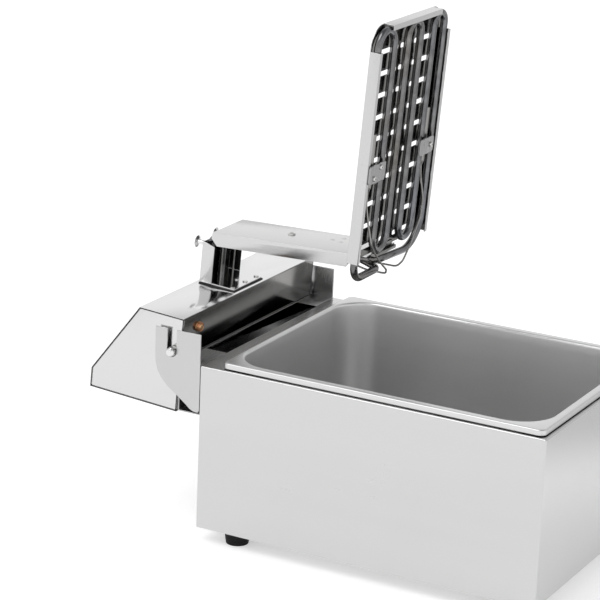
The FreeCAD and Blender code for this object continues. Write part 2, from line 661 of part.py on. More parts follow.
DY0, DW = P["riser_y_lo"] - 1.1, P["riser_wid"] + 2.2
dc = new_body("drop_cover")
cv = math.cos(math.radians(P["drop_deg"]))
dd = P["drop_depth"] / cv
v_top, v_end, v_web = 27.0, -129.0, P["plate_v"] + 0.3
xz_pad(dc, [(web_u(v_top), v_top), (web_u(v_top) - 6.5, v_top + 0.6), (web_u(20.5) - dd, 20.5),
            (web_u(v_end) - dd, v_end), (web_u(v_end - 9) - 1.2, v_end - 9), (web_u(v_web) - 1.2, v_web),
            (web_u(v_web), v_web)], DY0, DW, "block")
xz_cut(dc, [(web_u(v_top + 6) - 1.0 / cv, v_top + 6), (web_u(v_top + 6) - 40, v_top + 6),
            (web_u(v_web - 9) - 40, v_web - 9), (web_u(v_web - 9) - 1.0 / cv, v_web - 9)],
       DY0 + 1.0, DW - 2.0, "hollow")
node(dc, "drop_cover", HEAD_PL)


def drop_point(v, y, out):
    """Point beyond the drop cover's web by out, along the web's normal."""
    return V3(web_u(v), y, v) + V3(cv, 0, math.sin(math.radians(P["drop_deg"]))) * out


web_n = V3(cv, 0, math.sin(math.radians(P["drop_deg"])))
s1 = Part.makeCylinder(4.1, 1.5, drop_point(-46.0, 147.5, 0.05), web_n)
e_top = [e for e in s1.Edges if abs((e.CenterOfMass - drop_point(-46.0, 147.5, 1.55)).Length) < 0.3]
s1 = s1.makeFillet(0.9, e_top[:1])
feature("cover_screw_shape", s1, "cover_screw", HEAD_PL)

# Basket-hanger studs: mushroom-headed studs near the riser's upper end.
hs_parts = []
for i, yy in enumerate((119.5, 157.0)):
    stem = Part.makeCylinder(2.7, 8.6, V3(77.2, yy, P["riser_v_out"] + 0.05), V3(0, 0, 1))
    cap_s = Part.makeCone(3.4, 6.4, 1.6, V3(77.2, yy, P["riser_v_out"] + 8.6), V3(0, 0, 1))
    cap_e = Part.makeCone(6.4, 4.2, 1.2, V3(77.2, yy, P["riser_v_out"] + 10.2), V3(0, 0, 1))
    hs_parts.append(stem.fuse([cap_s, cap_e]))
feature("hanger_shape", Part.makeCompound(hs_parts), "hanger_studs", HEAD_PL)

# Heating element: one sheathed tube, six runs, both legs rising inside the covers.
tv, ut, ul = P["tube_v"], P["tube_u_top"], P["tube_u_low"]
RUN_Y = (70.9, 105.8, 135.7, 164.0, 192.8, 217.2)
el_pts = [
    (26, 148.0, LEG_V), (88.2, 148.0, LEG_V), (99.4, 148.0, -104.0), (96.6, 126.0, tv), (96.6, RUN_Y[0], tv),
    (ut, RUN_Y[0], tv), (ut, RUN_Y[1], tv), (ul, RUN_Y[1], tv), (ul, RUN_Y[2], tv), (ut, RUN_Y[2], tv),
    (ut, RUN_Y[3], tv), (ul, RUN_Y[3], tv), (ul, RUN_Y[4], tv), (ut, RUN_Y[4], tv), (ut, RUN_Y[5], tv),
    (101.0, RUN_Y[5], tv), (106.2, 121.0, tv), (87.4, 121.0, LEG_V), (26, 121.0, LEG_V)]
half = [(RUN_Y[k + 1] - RUN_Y[k]) / 2 - 0.01 for k in range(5)]
el_rad = [13.0, 40.0, 12.0, 16.0]
for hb in half:
    el_rad += [hb, hb]
el_rad += [36.0, 12.0, 13.0]
el_shape, el_len = tube_along(el_pts, el_rad, P["tube_rad"], "heating element")
print("heating element tube length %.0f mm" % el_len)
feature("element_shape", el_shape, "heating_element", HEAD_PL)

# Element terminals: ceramic beads and threaded pins on the tube ends inside the box.
tm = []
for yy in LEG_Y:
    tm.append(Part.makeCylinder(3.2, 5.0, V3(20.9, yy, LEG_V), V3(1, 0, 0)).fuse(
        Part.makeCylinder(1.8, 9.0, V3(12.0, yy, LEG_V), V3(1, 0, 0))))
feature("terminals_shape", Part.makeCompound(tm), "element_terminals", HEAD_PL)

# Guard plate: slotted sheet over the tubes with side skirts, an end skirt and its return.
gp = new_body("guard_plate")
pv, pt, pu0, pu1 = d("plate_v"), d("plate_skin"), d("plate_u_lo"), d("plate_u_hi")
gy0, gw, sd, rl = d("plate_y_lo"), d("plate_wid"), d("skirt_dep"), d("return_len")
xz_pad(gp, [(pu0, pv), (pu0, pv - pt), (pu1 - pt, pv - pt), (pu1 - pt, pv - sd + pt), (pu1 - rl, pv - sd + pt),
            (pu1 - rl, pv - sd), (pu1, pv - sd), (pu1, pv)], gy0, gw, "end_fold")
for i, yy in enumerate((gy0, gy0 + gw - pt)):
    xz_pad(gp, rect(pu0 + 1, pv - sd, d("skirt_u_hi"), pv - 0.2), yy, pt, "skirt_%d" % i)
for i, yy in enumerate((gy0, gy0 + gw - rl)):
    xz_pad(gp, rect(pu0 + 1, pv - sd, d("skirt_u_hi"), pv - sd + pt), yy, rl, "skirt_return_%d" % i)
crn, arc_r = 24.4, 23.2
for i, (ya, yb, sg) in enumerate(((gy0 - 1, gy0 + crn, 1), (gy0 + gw - crn, gy0 + gw + 1, -1))):
    yin = gy0 + crn if sg > 0 else gy0 + gw - crn
    yout = gy0 - 1 if sg > 0 else gy0 + gw + 1
    xy_cut(gp, rect(pu1 - rl - 1, yout, pu1 + 2, yin), pv - sd - 2, sd + 2 - pt, "corner_gap_%d" % i)
    # rounded plate corner, as short chords
    arc = []
    for k in range(9):
        a = math.radians(90 * k / 8)
        arc.append((pu1 - arc_r + arc_r * math.sin(a),
                    (gy0 + arc_r - arc_r * math.cos(a)) if sg > 0 else (gy0 + gw - arc_r + arc_r * math.cos(a))))
    pts = arc + [(pu1 + 2, arc[-1][1]), (pu1 + 2, yout), (pu1 - arc_r, yout)]
    xy_cut(gp, pts, pv - sd - 2, sd + 4, "corner_round_%d" % i)
sk_s = sketch(gp, "XY_Plane", "slot_outline")
for (ya, yb) in ((88.0, 127.0), (132.0, 152.0), (162.0, 205.0)):
    s0, sh_ = d("slot_first"), d("slot_high") / 2
    loop(sk_s, [(s0 - sh_ + 1.2, ya), (s0 + sh_ - 1.2, ya), (s0 + sh_, ya + 1.4), (s0 + sh_, yb - 1.4),
                (s0 + sh_ - 1.2, yb), (s0 - sh_ + 1.2, yb), (s0 - sh_, yb - 1.4), (s0 - sh_, ya + 1.4)])
shift(sk_s, "z", pv - 4)
vol0 = gp.Shape.Volume
slot1 = pocket(gp, sk_s, 8, "first_slots", back=True)
vol1 = gp.Shape.Volume
rowp = gp.newObject("PartDesign::LinearPattern", "slot_rows")
rowp.Originals = [slot1]
rowp.Direction = (sk_s, ["H_Axis"])
rowp.Occurrences = 10
rowp.Length = P["slot_pitch"] * 9
rowp.setExpression("Length", "dims.slot_pitch * 9")
gp.Tip = rowp
doc.recompute()
if abs((vol0 - gp.Shape.Volume) - 10 * (vol0 - vol1)) > 1.0:
    raise RuntimeError("slot pattern: %.1f cut, %.1f wanted" % (vol0 - gp.Shape.Volume, 10 * (vol0 - vol1)))
node(gp, "guard_plate", HEAD_PL)

# Leg bracket: strap from the plate's rear edge that steadies the two legs.
lb = new_body("leg_bracket")
xz_pad(lb, [(110.2, -152.3), (118.0, -152.3), (118.0, -153.3), (113.4, -153.3), (113.4, -158.3), (110.2, -158.3)],
       117.0, 45.0, "strap")
node(lb, "leg_bracket", HEAD_PL)

# Bulb clips with their screws.
clip_n = box("clip_near_bar", (197.0, 68.2, -164.2), (19.0, 35.5, 1.2))
clip_n2 = box("clip_near_leg", (203.0, 92.4, -163.05), (7.0, 3.0, 10.75))
node(fuse("clip_near_solid", [clip_n, clip_n2]), "bulb_clip_near", HEAD_PL)
clip_f = box("clip_far_bar", (204.0, 179.6, -164.2), (17.0, 31.2, 1.2))
clip_f2 = box("clip_far_leg", (209.0, 197.3, -163.05), (7.0, 3.0, 10.75))
node(fuse("clip_far_solid", [clip_f, clip_f2]), "bulb_clip_far", HEAD_PL)
csr = []
for i, (uu, yy) in enumerate(((211.5, 92.0), (202.0, 79.5), (212.5, 204.0))):
    csr.append(cyl("clip_screw_%d" % i, (uu, yy, -166.45), "z", 2.6, 2.2))
node(group("clip_screw_set", csr), "clip_screws", HEAD_PL)


def bulb(u0, u1, y, v, tail, radii, label):
    b = Part.makeCylinder(2.9, u1 - u0, V3(u0, y, v), V3(1, 0, 0))
    neck = Part.makeCone(1.3, 2.9, 5.0, V3(u0 - 5.0, y, v), V3(1, 0, 0))
    t, ln = tube_along([(u0 - 4.0, y, v)] + tail, radii, 0.95, label)
    s = b.fuse([neck, t]).removeSplitter()
    if not s.isValid() or len(s.Solids) != 1:
        raise RuntimeError("%s: bulb is not one solid" % label)
    print("%s capillary %.0f mm" % (label, ln))
    return s


# Thermostat bulb between the first two runs; its capillary loops out past the legs and up the covers.
th_tail = [(174.0, 78.6, -159.6), (153.0, 80.6, -163.4), (131.0, 84.5, -167.6), (112.0, 104.0, -168.4),
           (98.0, 124.0, -168.0), (90.0, 134.5, -163.0), (89.0, 134.5, -140.0), (93.2, 134.5, -112.0),
           (82.6, 134.5, LEG_V - 7.0), (26.0, 134.5, LEG_V - 7.0)]
feature("thermo_shape", bulb(192.0, 246.0, 80.0, -158.6, th_tail, [30, 24, 22, 16, 9, 8, 22, 40, 10], "thermostat"),
        "thermostat_bulb", HEAD_PL)
# Limiter bulb between the last two runs.
li_tail = [(178.0, 203.6, -157.4), (156.0, 203.0, -163.0), (138.0, 192.0, -167.6), (114.0, 175.0, -168.2),
           (98.0, 163.0, -167.4), (91.0, 161.0, -162.0), (89.6, 161.0, -140.0), (93.2, 161.0, -112.0),
           (82.6, 161.0, LEG_V - 7.0), (26.0, 161.0, LEG_V - 7.0)]
feature("limit_shape", bulb(194.0, 250.0, 204.5, -155.8, li_tail, [30, 14, 14, 14, 9, 8, 22, 40, 10], "limiter"),
        "limiter_bulb", HEAD_PL)

# ---- inside the box
node(fuse("term_block", [box("tb_body", (-50, 150, vl + hs + 0.05), (16, 62, 12)),
                         box("tb_rib", (-46, 152, vl + hs + 11), (8, 58, 6))]), "terminal_block", HEAD_PL)
KNOB_ALONG, KNOB_Y = 61.0, 196.0
kn0 = on_slope(KNOB_ALONG, KNOB_Y)


def slope_place(along, y, out):
    """Placement whose local +Z leaves the control panel."""
    return HEAD_PL.multiply(FreeCAD.Placement(on_slope(along, y, out),
                                              FreeCAD.Rotation(V3(0, 0, 1), slope_nrm)))


def slope_hole(along, y, r):
    return Part.makeCylinder(r, 8.0, on_slope(along, y, -5.0), slope_nrm)


# the control panel's holes, cut from the wrap as features on its own sloped face
dp = doc.addObject("Part::Compound", "panel_holes")
hole_objs = []
for i, (al, yy, rr) in enumerate(((KNOB_ALONG, KNOB_Y, 4.2), (58.0, 96.0, 5.1), (58.0, 124.0, 5.1))):
    c = doc.addObject("Part::Cylinder", "panel_hole_%d" % i)
    c.Radius = rr
    c.Height = 9.0
    c.Placement = FreeCAD.Placement(on_slope(al, yy, -5.0), FreeCAD.Rotation(V3(0, 0, 1), slope_nrm))
    hole_objs.append(c)
GL_V, GL_Y, RB_V, RB_Y = 67.0, 45.0, 58.0, 241.0
for i, (vv, yy, rr) in enumerate(((GL_V, GL_Y, 8.1), (RB_V, RB_Y, 5.2))):
    c = doc.addObject("Part::Cylinder", "rear_hole_%d" % i)
    c.Radius = rr
    c.Height = 9.0
    c.Placement = FreeCAD.Placement(V3(P["head_u_rear"] - 4, yy, vv), FreeCAD.Rotation(V3(0, 1, 0), 90))
    hole_objs.append(c)
dp.Links = hole_objs
wrap_drilled = cut("head_wrap_drilled", wrap, dp)
nodes.remove(wrap)
wrap.Placement = FreeCAD.Placement()
wrap.Label = "head_wrap_sheet"
node(wrap_drilled, "head_wrap", HEAD_PL)

# Control thermostat behind the knob, with its shaft.
ctb = new_body("control_thermostat")
xy_pad(ctb, rect(-17, -20, 17, 20), -27.0, 25.8, "case")
xy_pad(ctb, (0, 0, 3.0), -1.3, 12.3, "shaft")
node(ctb, "control_thermostat", slope_place(KNOB_ALONG, KNOB_Y, 0.0))

# Dial ring: thin printed disc under the knob.
dr = new_body("dial_ring")
revolve(dr, [(4.5, 0.05), (25.0, 0.05), (25.0, 0.55), (24.6, 0.8), (4.5, 0.8)], "disc")
node(dr, "dial_ring", slope_place(KNOB_ALONG, KNOB_Y, 0.0))

# Knob: skirted body with a raised grip bar, on the shaft.
kb = new_body("control_knob")
kr, kh = d("knob_rad"), d("knob_hgt")
revolve(kb, [(3.06, 1.2), (kr, 1.2), (kr, 3.4), (kr - 1.4, 4.6), (kr - 4.4, 5.2), (kr - 5.0, kh - 1.2),
             (kr - 6.2, kh), (0, kh), (0, 11.2), (3.06, 11.2)], "turned")
xy_pad(kb, [(-15.6, -2.6), (15.6, -2.6), (15.6, 2.6), (-15.6, 2.6)], 3.6, kh - 3.6, "grip_bar")
xy_cut(kb, (0, 0, 3.06), 1.0, 10.2, "shaft_bore")
node(kb, "control_knob", slope_place(KNOB_ALONG, KNOB_Y, 0.0))

# Indicator lamps.
for nm, yy in (("power_lamp", 96.0), ("heat_lamp", 124.0)):
    lp = new_body(nm)
    revolve(lp, [(0, -14), (4.6, -14), (4.6, 0.1), (6.6, 0.1), (6.6, 1.2), (5.4, 2.6), (4.2, 3.8), (2.4, 4.5), (0, 4.8)],
            "lens")
    node(lp, nm, slope_place(58.0, yy, 0.05))

# Limit thermostat on the rear wall, with a sprung reset button in a collar.
rear_rot = FreeCAD.Rotation(V3(0, 0, 1), V3(-1, 0, 0))
rear_pl = HEAD_PL.multiply(FreeCAD.Placement(V3(P["head_u_rear"], RB_Y, RB_V), rear_rot))
lt = new_body("limit_thermostat")
xy_pad(lt, rect(-15, -18, 15, 18), -25.0, 19.0, "case")
node(lt, "limit_thermostat", rear_pl)
rc_ = new_body("reset_collar")
revolve(rc_, [(4.4, -5.9), (5.0, -5.9), (5.0, 0.05), (8.2, 0.05), (8.2, 2.0), (7.4, 2.8), (4.4, 2.8)], "ring")
node(rc_, "reset_collar", rear_pl)
rbn = new_body("reset_button")
revolve(rbn, [(0, -1.5), (d("button_rad"), -1.5), (d("button_rad"), 4.4), (3.4, 5.0), (0, 5.2)], "cap")
node(rbn, "reset_button", rear_pl)

# Cable gland in the rear wall, and its lock nut inside.
gl_pl = HEAD_PL.multiply(FreeCAD.Placement(V3(P["head_u_rear"], GL_Y, GL_V), rear_rot))
gl = new_body("cable_gland")
revolve(gl, [(3.6, -8.0), (7.9, -8.0), (7.9, 0.05), (11.0, 0.05), (11.0, 4.0), (9.6, 4.4), (9.6, 9.0), (8.2, 11.6),
             (3.6, 12.0)], "body_turned")
node(gl, "cable_gland", gl_pl)
gn = new_body("gland_nut")
hexa = [(11.5 * math.cos(math.radians(60 * k)), 11.5 * math.sin(math.radians(60 * k))) for k in range(6)]
xy_pad(gn, hexa, -5.6, 4.4, "hex")
xy_cut(gn, (0, 0, 8.0), -8.0, 10.0, "bore")
node(gn, "gland_nut", gl_pl)

# Earth stud on the bottom plate.
es = fuse("earth_stud_solid", [cyl("earth_shank", (-52, 60, vl + hs + 0.05), "z", 2.0, 12),
                               cyl("earth_nut", (-52, 60, vl + hs + 0.05), "z", 4.0, 3.2)])
node(es, "earth_stud", HEAD_PL)

# Interlock: microswitch inside, brass plunger that stands out of the bottom plate.
ms = new_body("safety_switch")
xy_pad(ms, rect(7, 22, 33, 48), 9.0, 16.0, "case")
node(ms, "safety_switch", HEAD_PL)
ip = new_body("interlock_plunger")
ipr, ipo = d("plunger_rad"), d("plunger_out")
revolve(ip, [(0, vl - ipo), (ipr - 1.6, vl - ipo), (ipr, vl - ipo + 1.4), (ipr, vl + 5.5), (2.2, vl + 5.5),
             (2.2, vl + 11.0), (0, vl + 11.0)], "pin")
node(ip, "interlock_plunger", HEAD_PL.multiply(FreeCAD.Placement(V3(20, 35, 0), FreeCAD.Rotation())))

# ================================================================ CHECK AND WRITE
doc.recompute()
bad = [o.Name for o in doc.Objects if any(s in ("Invalid", "Error") for s in o.State)]
if bad:
    raise RuntimeError("failed objects: %s" % bad)
os.makedirs("parts", exist_ok=True)
box_all = None
for o in nodes:
    s = o.Shape
    if s.isNull() or not s.isValid() or s.Volume <= 0:
        raise RuntimeError("bad shape: %s" % o.Label)
    s.exportStep("parts/%s.step" % o.Label)
    bb = s.BoundBox
    if box_all is None:
        box_all = FreeCAD.BoundBox(bb)
    else:
        box_all.add(bb)
print("%d nodes" % len(nodes))
print("overall X %.2f..%.2f  Y %.2f..%.2f  Z %.2f..%.2f" % (
    box_all.XMin, box_all.XMax, box_all.YMin, box_all.YMax, box_all.ZMin, box_all.ZMax))
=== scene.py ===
import json
import math

import bmesh
import bpy
from mathutils import Matrix, Vector


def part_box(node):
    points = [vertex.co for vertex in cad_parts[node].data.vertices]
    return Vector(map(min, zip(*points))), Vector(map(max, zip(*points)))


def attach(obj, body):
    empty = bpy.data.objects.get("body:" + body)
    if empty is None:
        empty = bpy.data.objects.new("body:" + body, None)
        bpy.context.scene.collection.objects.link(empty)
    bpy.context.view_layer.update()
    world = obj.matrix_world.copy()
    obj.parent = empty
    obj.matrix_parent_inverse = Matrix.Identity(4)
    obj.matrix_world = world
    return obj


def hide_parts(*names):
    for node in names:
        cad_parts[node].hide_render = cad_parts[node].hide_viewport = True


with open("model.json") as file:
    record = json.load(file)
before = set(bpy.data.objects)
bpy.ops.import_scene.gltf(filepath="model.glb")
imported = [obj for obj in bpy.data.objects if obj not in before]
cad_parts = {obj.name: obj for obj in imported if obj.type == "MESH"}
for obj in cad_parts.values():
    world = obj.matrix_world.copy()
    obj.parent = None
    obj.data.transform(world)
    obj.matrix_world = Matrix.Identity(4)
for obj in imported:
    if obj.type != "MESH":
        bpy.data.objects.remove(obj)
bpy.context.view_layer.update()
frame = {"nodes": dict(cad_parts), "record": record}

scene = bpy.context.scene
MM = 0.001

# ------------------------------------------------------------------ where things are
OX, OY, OZ = -121.35, -142.5, 15.0          # rear near lower corner of the casing, mm
PIN_X, PIN_Z, TILT = -33.6, 181.5, math.radians(86.1)
CT, ST = math.cos(TILT), math.sin(TILT)


def W3(x, y, z):
    """Casing coordinates in mm to the row frame in metres."""
    return Vector(((x + OX) * MM, (y + OY) * MM, (z + OZ) * MM))


def H3(u, y, v):
    """Head coordinates (u forward, v up, from the pivot axis) to the row frame, tilted back."""
    return W3(PIN_X + u * CT - v * ST, y, PIN_Z + u * ST + v * CT)


def head_matrix(u, y, v, z_dir_uv=(0.0, 1.0)):
    """Matrix in metres whose local Z points along z_dir in the head's u, v plane and local Y across."""
    du, dv = z_dir_uv
    n = math.hypot(du, dv)
    du, dv = du / n, dv / n
    z = Vector((du * CT - dv * ST, 0, du * ST + dv * CT))
    y_ = Vector((0, 1, 0))
    x = y_.cross(z)
    m = Matrix((x, y_, z)).transposed().to_4x4()
    m.translation = H3(u, y, v)
    return m


def world_matrix(p, zdir, up=(0, 0, 1)):
    z = Vector(zdir).normalized()
    ref = Vector(up)
    if abs(z.dot(ref)) > 0.99:
        ref = Vector((0, 1, 0))
    x = ref.cross(z).normalized()
    y_ = z.cross(x)
    m = Matrix((x, y_, z)).transposed().to_4x4()
    m.translation = p
    return m


# ------------------------------------------------------------------ camera
CAM_POS = Vector((1.11669, -2.28106, 1.02397))
YAW, PITCH, ROLL = math.radians(27.8177), math.radians(17.1736), math.radians(2.3216)
fwd = Vector((-math.sin(YAW) * math.cos(PITCH), math.cos(YAW) * math.cos(PITCH), -math.sin(PITCH)))
right = Vector((math.cos(YAW), math.sin(YAW), 0))
up = right.cross(fwd)
r2 = math.cos(ROLL) * right + math.sin(ROLL) * up
u2 = -math.sin(ROLL) * right + math.cos(ROLL) * up
cam_data = bpy.data.cameras.new("camera")
cam_data.lens = 156.504
cam_data.sensor_width = 36.0
cam_data.sensor_fit = "HORIZONTAL"
cam_data.clip_start = 0.05
cam_data.clip_end = 60.0
cam = bpy.data.objects.new("camera", cam_data)
scene.collection.objects.link(cam)
rot = Matrix((r2, u2, -fwd)).transposed().to_4x4()
rot.translation = CAM_POS
cam.matrix_world = rot
scene.camera = cam

# ------------------------------------------------------------------ node material helpers


class Mat:
    """Small helper round a node tree."""

    def __init__(self, name):
        self.m = bpy.data.materials.new(name)
        self.m.use_nodes = True
        self.t = self.m.node_tree
        self.t.nodes.clear()
        self.out = self.t.nodes.new("ShaderNodeOutputMaterial")
        self.b = self.t.nodes.new("ShaderNodeBsdfPrincipled")
        self.link(self.b.outputs[0], self.out.inputs["Surface"])
        self.obj = self.t.nodes.new("ShaderNodeTexCoord")

    def link(self, a, b):
        self.t.links.new(a, b)

    def set(self, **kw):
        for k, v in kw.items():
            self.b.inputs[k.replace("_", " ")].default_value = v

    def mapping(self, scale, loc=(0, 0, 0), rot=(0, 0, 0), src=None):
        n = self.t.nodes.new("ShaderNodeMapping")
        n.inputs["Scale"].default_value = scale
        n.inputs["Location"].default_value = loc
        n.inputs["Rotation"].default_value = rot
        self.link(src or self.obj.outputs["Object"], n.inputs["Vector"])
        return n.outputs[0]

    def noise(self, vec, scale=1.0, detail=3.0, rough=0.55, dist=0.0):
        n = self.t.nodes.new("ShaderNodeTexNoise")
        n.inputs["Scale"].default_value = scale
        n.inputs["Detail"].default_value = detail
        n.inputs["Roughness"].default_value = rough
        n.inputs["Distortion"].default_value = dist
        self.link(vec, n.inputs["Vector"])
        return n.outputs["Fac"]

    def ramp(self, fac, stops):
        n = self.t.nodes.new("ShaderNodeValToRGB")
        el = n.color_ramp.elements
        while len(el) < len(stops):
            el.new(0.5)
        for e, (p, c) in zip(el, stops):
            e.position = p
            e.color = (*c, 1.0) if len(c) == 3 else c
        self.link(fac, n.inputs["Fac"])
        return n.outputs["Color"]

    def range(self, val, a, b, c, d):
        n = self.t.nodes.new("ShaderNodeMapRange")
        for k, v in zip(("From Min", "From Max", "To Min", "To Max"), (a, b, c, d)):
            n.inputs[k].default_value = v
        self.link(val, n.inputs["Value"])
        return n.outputs["Result"]

    def math(self, op, a, b):
        n = self.t.nodes.new("ShaderNodeMath")
        n.operation = op
        for i, x in enumerate((a, b)):
            if isinstance(x, (int, float)):
                n.inputs[i].default_value = x
            else:
                self.link(x, n.inputs[i])
        return n.outputs[0]

    def mixf(self, fac, a, b):
        n = self.t.nodes.new("ShaderNodeMix")
        n.data_type = "FLOAT"
        self.link(fac, n.inputs[0])
        for i, x in ((2, a), (3, b)):
            if isinstance(x, (int, float)):
                n.inputs[i].default_value = x
            else:
                self.link(x, n.inputs[i])
        return n.outputs[0]

    def mixc(self, fac, a, b, mode="MIX"):
        n = self.t.nodes.new("ShaderNodeMix")
        n.data_type = "RGBA"
        n.blend_type = mode
        if isinstance(fac, (int, float)):
            n.inputs[0].default_value = fac
        else:
            self.link(fac, n.inputs[0])
        for i, x in ((6, a), (7, b)):
            if isinstance(x, tuple):
                n.inputs[i].default_value = (*x, 1.0) if len(x) == 3 else x
            else:
                self.link(x, n.inputs[i])
        return n.outputs[2]

    def bump(self, height, strength, dist, base=None):
        n = self.t.nodes.new("ShaderNodeBump")
        n.inputs["Strength"].default_value = strength
        n.inputs["Distance"].default_value = dist
        self.link(height, n.inputs["Height"])
        if base is not None:
            self.link(base, n.inputs["Normal"])
        return n.outputs[0]

    def color(self, c):
        self.link(c, self.b.inputs["Base Color"])

    def rough(self, r):
        self.link(r, self.b.inputs["Roughness"])

    def normal(self, n):
        self.link(n, self.b.inputs["Normal"])


def steel(name, tone=0.72, rough=0.2, spread=0.05, streak=0.035, long_axis="X", grain=700.0, bump=0.05,
          tint=(1.0, 1.0, 1.0), smudge=0.05, spots=0.0):
    """Stainless sheet: fine grain lines along one direction, slight tone drift and handling smudges."""
    k = Mat(name)
    k.set(Metallic=1.0)
    k.set(**{"Specular IOR Level": 0.5})
    axes = {"X": (5.0, grain, grain), "Y": (grain, 5.0, grain), "Z": (grain, grain, 5.0)}
    fine = k.noise(k.mapping(axes[long_axis]), 1.0, 4.0, 0.65)
    coarse = {"X": (2.2, grain * 0.16, grain * 0.16), "Y": (grain * 0.16, 2.2, grain * 0.16),
              "Z": (grain * 0.16, grain * 0.16, 2.2)}
    band = k.noise(k.mapping(coarse[long_axis], loc=(3.1, 1.7, 5.3)), 1.0, 3.0, 0.5)
    cloud = k.noise(k.mapping((7.0, 7.0, 7.0), loc=(1.3, 8.1, 2.2)), 1.0, 4.0, 0.6, 0.4)
    both = k.math("ADD", k.math("MULTIPLY", k.math("SUBTRACT", fine, 0.5), 0.6),
                  k.math("MULTIPLY", k.math("SUBTRACT", band, 0.5), 0.8))
    lift = k.math("ADD", k.math("MULTIPLY", both, streak * 2.0),
                  k.math("MULTIPLY", k.math("SUBTRACT", cloud, 0.5), smudge))
    val = k.math("ADD", lift, 0.5)
    lo, hi = tone * 0.72, min(1.0, tone * 1.28)
    c = k.ramp(val, [(0.0, tuple(lo * t for t in tint)), (1.0, tuple(min(1.0, hi * t) for t in tint))])
    if spots > 0:
        sp = k.noise(k.mapping((160.0, 160.0, 160.0)), 1.0, 5.0, 0.7)
        mask = k.range(sp, 0.58, 0.72, 0.0, spots)
        c = k.mixc(mask, c, (tone * 0.45, tone * 0.43, tone * 0.4))
    k.color(c)
    r = k.math("ADD", k.range(cloud, 0.3, 0.7, rough - spread, rough + spread),
               k.math("MULTIPLY", k.math("SUBTRACT", fine, 0.5), spread * 1.4))
    k.rough(r)
    k.normal(k.bump(both, bump, 0.0004))
    return k.m


def plain(name, lo, hi, rough=0.4, spread=0.08, scale=260.0, bump=0.15, dist=0.0003, metallic=0.0, coat=0.0,
          emission=None):
    k = Mat(name)
    k.set(Metallic=metallic)
    n = k.noise(k.mapping((scale, scale, scale)), 1.0, 5.0, 0.6)
    big = k.noise(k.mapping((22.0, 22.0, 22.0), loc=(4.0, 2.0, 7.0)), 1.0, 3.0, 0.5)
    mixv = k.math("ADD", k.math("MULTIPLY", n, 0.5), k.math("MULTIPLY", big, 0.5))
    k.color(k.ramp(mixv, [(0.3, lo), (0.7, hi)]))
    k.rough(k.range(big, 0.3, 0.7, rough - spread, rough + spread))
    k.normal(k.bump(n, bump, dist))
    if coat:
        k.set(**{"Coat Weight": coat, "Coat Roughness": 0.12})
    return k.m


M = {}
M["casing"] = steel("casing_steel_mat", 0.615, 0.24, 0.04, 0.03, "X", 620.0, 0.05)
M["casing_dark"] = steel("inner_steel_mat", 0.42, 0.3, 0.05, 0.04, "Y", 520.0, 0.06)
M["pan"] = steel("pan_steel_mat", 0.68, 0.34, 0.03, 0.03, "X", 420.0, 0.07, smudge=0.07)
M["head"] = steel("head_steel_mat", 0.74, 0.15, 0.03, 0.025, "Y", 650.0, 0.03)
M["cap"] = steel("cap_steel_mat", 0.665, 0.16, 0.03, 0.03, "X", 650.0, 0.03)
M["ear"] = steel("ear_steel_mat", 0.56, 0.26, 0.04, 0.03, "Z", 620.0, 0.05)
M["cover"] = steel("cover_steel_mat", 0.74, 0.22, 0.04, 0.035, "X", 600.0, 0.05)
M["guard"] = steel("guard_steel_mat", 0.62, 0.2, 0.05, 0.04, "Z", 560.0, 0.06, spots=0.12)


def paint_shade_region(m, keep, **lim):
    """Painted shade and dark reflection: darkens the base colour to keep times its value inside limits on u, v (head)
    or y, x, z (casing), in mm.
    """
    t = m.node_tree
    b = [n for n in t.nodes if n.type == "BSDF_PRINCIPLED"][0]
    old = b.inputs["Base Color"].links[0].from_socket
    tc_ = [n for n in t.nodes if n.type == "TEX_COORD"][0]
    sp = t.nodes.new("ShaderNodeSeparateXYZ")
    t.links.new(tc_.outputs["Object"], sp.inputs[0])

    def mth(op, a, b_):
        n = t.nodes.new("ShaderNodeMath")
        n.operation = op
        for k, x in enumerate((a, b_)):
            if isinstance(x, (int, float)):
                n.inputs[k].default_value = x
            else:
                t.links.new(x, n.inputs[k])
        return n.outputs[0]

    px, pz = (PIN_X + OX) * MM, (PIN_Z + OZ) * MM
    dx = mth("SUBTRACT", sp.outputs["X"], px)
    dz = mth("SUBTRACT", sp.outputs["Z"], pz)
    coord = {"v": lambda: mth("ADD", mth("MULTIPLY", dx, -ST), mth("MULTIPLY", dz, CT)),
             "u": lambda: mth("ADD", mth("MULTIPLY", dx, CT), mth("MULTIPLY", dz, ST)),
             "y": lambda: mth("SUBTRACT", sp.outputs["Y"], OY * MM),
             "z": lambda: mth("SUBTRACT", sp.outputs["Z"], OZ * MM)}
    mask = None
    for name, (lo, hi) in lim.items():
        c = coord[name]()
        for edge, sgn in ((lo, 1.0), (hi, -1.0)):
            if edge is None:
                continue
            n = t.nodes.new("ShaderNodeMapRange")
            for k, x in zip(("From Min", "From Max", "To Min", "To Max"),
                            ((edge - 0.1 * sgn) * MM, (edge + 0.1 * sgn) * MM, 0.0, 1.0)):
                n.inputs[k].default_value = x
            t.links.new(c, n.inputs["Value"])
            mask = n.outputs["Result"] if mask is None else mth("MULTIPLY", mask, n.outputs["Result"])
    mix = t.nodes.new("ShaderNodeMix")
    mix.data_type = "RGBA"
    mix.blend_type = "MULTIPLY"
    t.links.new(mth("MULTIPLY", mask, 0.98), mix.inputs[0])
    t.links.new(old, mix.inputs[6])
    mix.inputs[7].default_value = (keep, keep * 0.985, keep * 0.96, 1.0)
    t.links.new(mix.outputs[2], b.inputs["Base Color"])
    return m
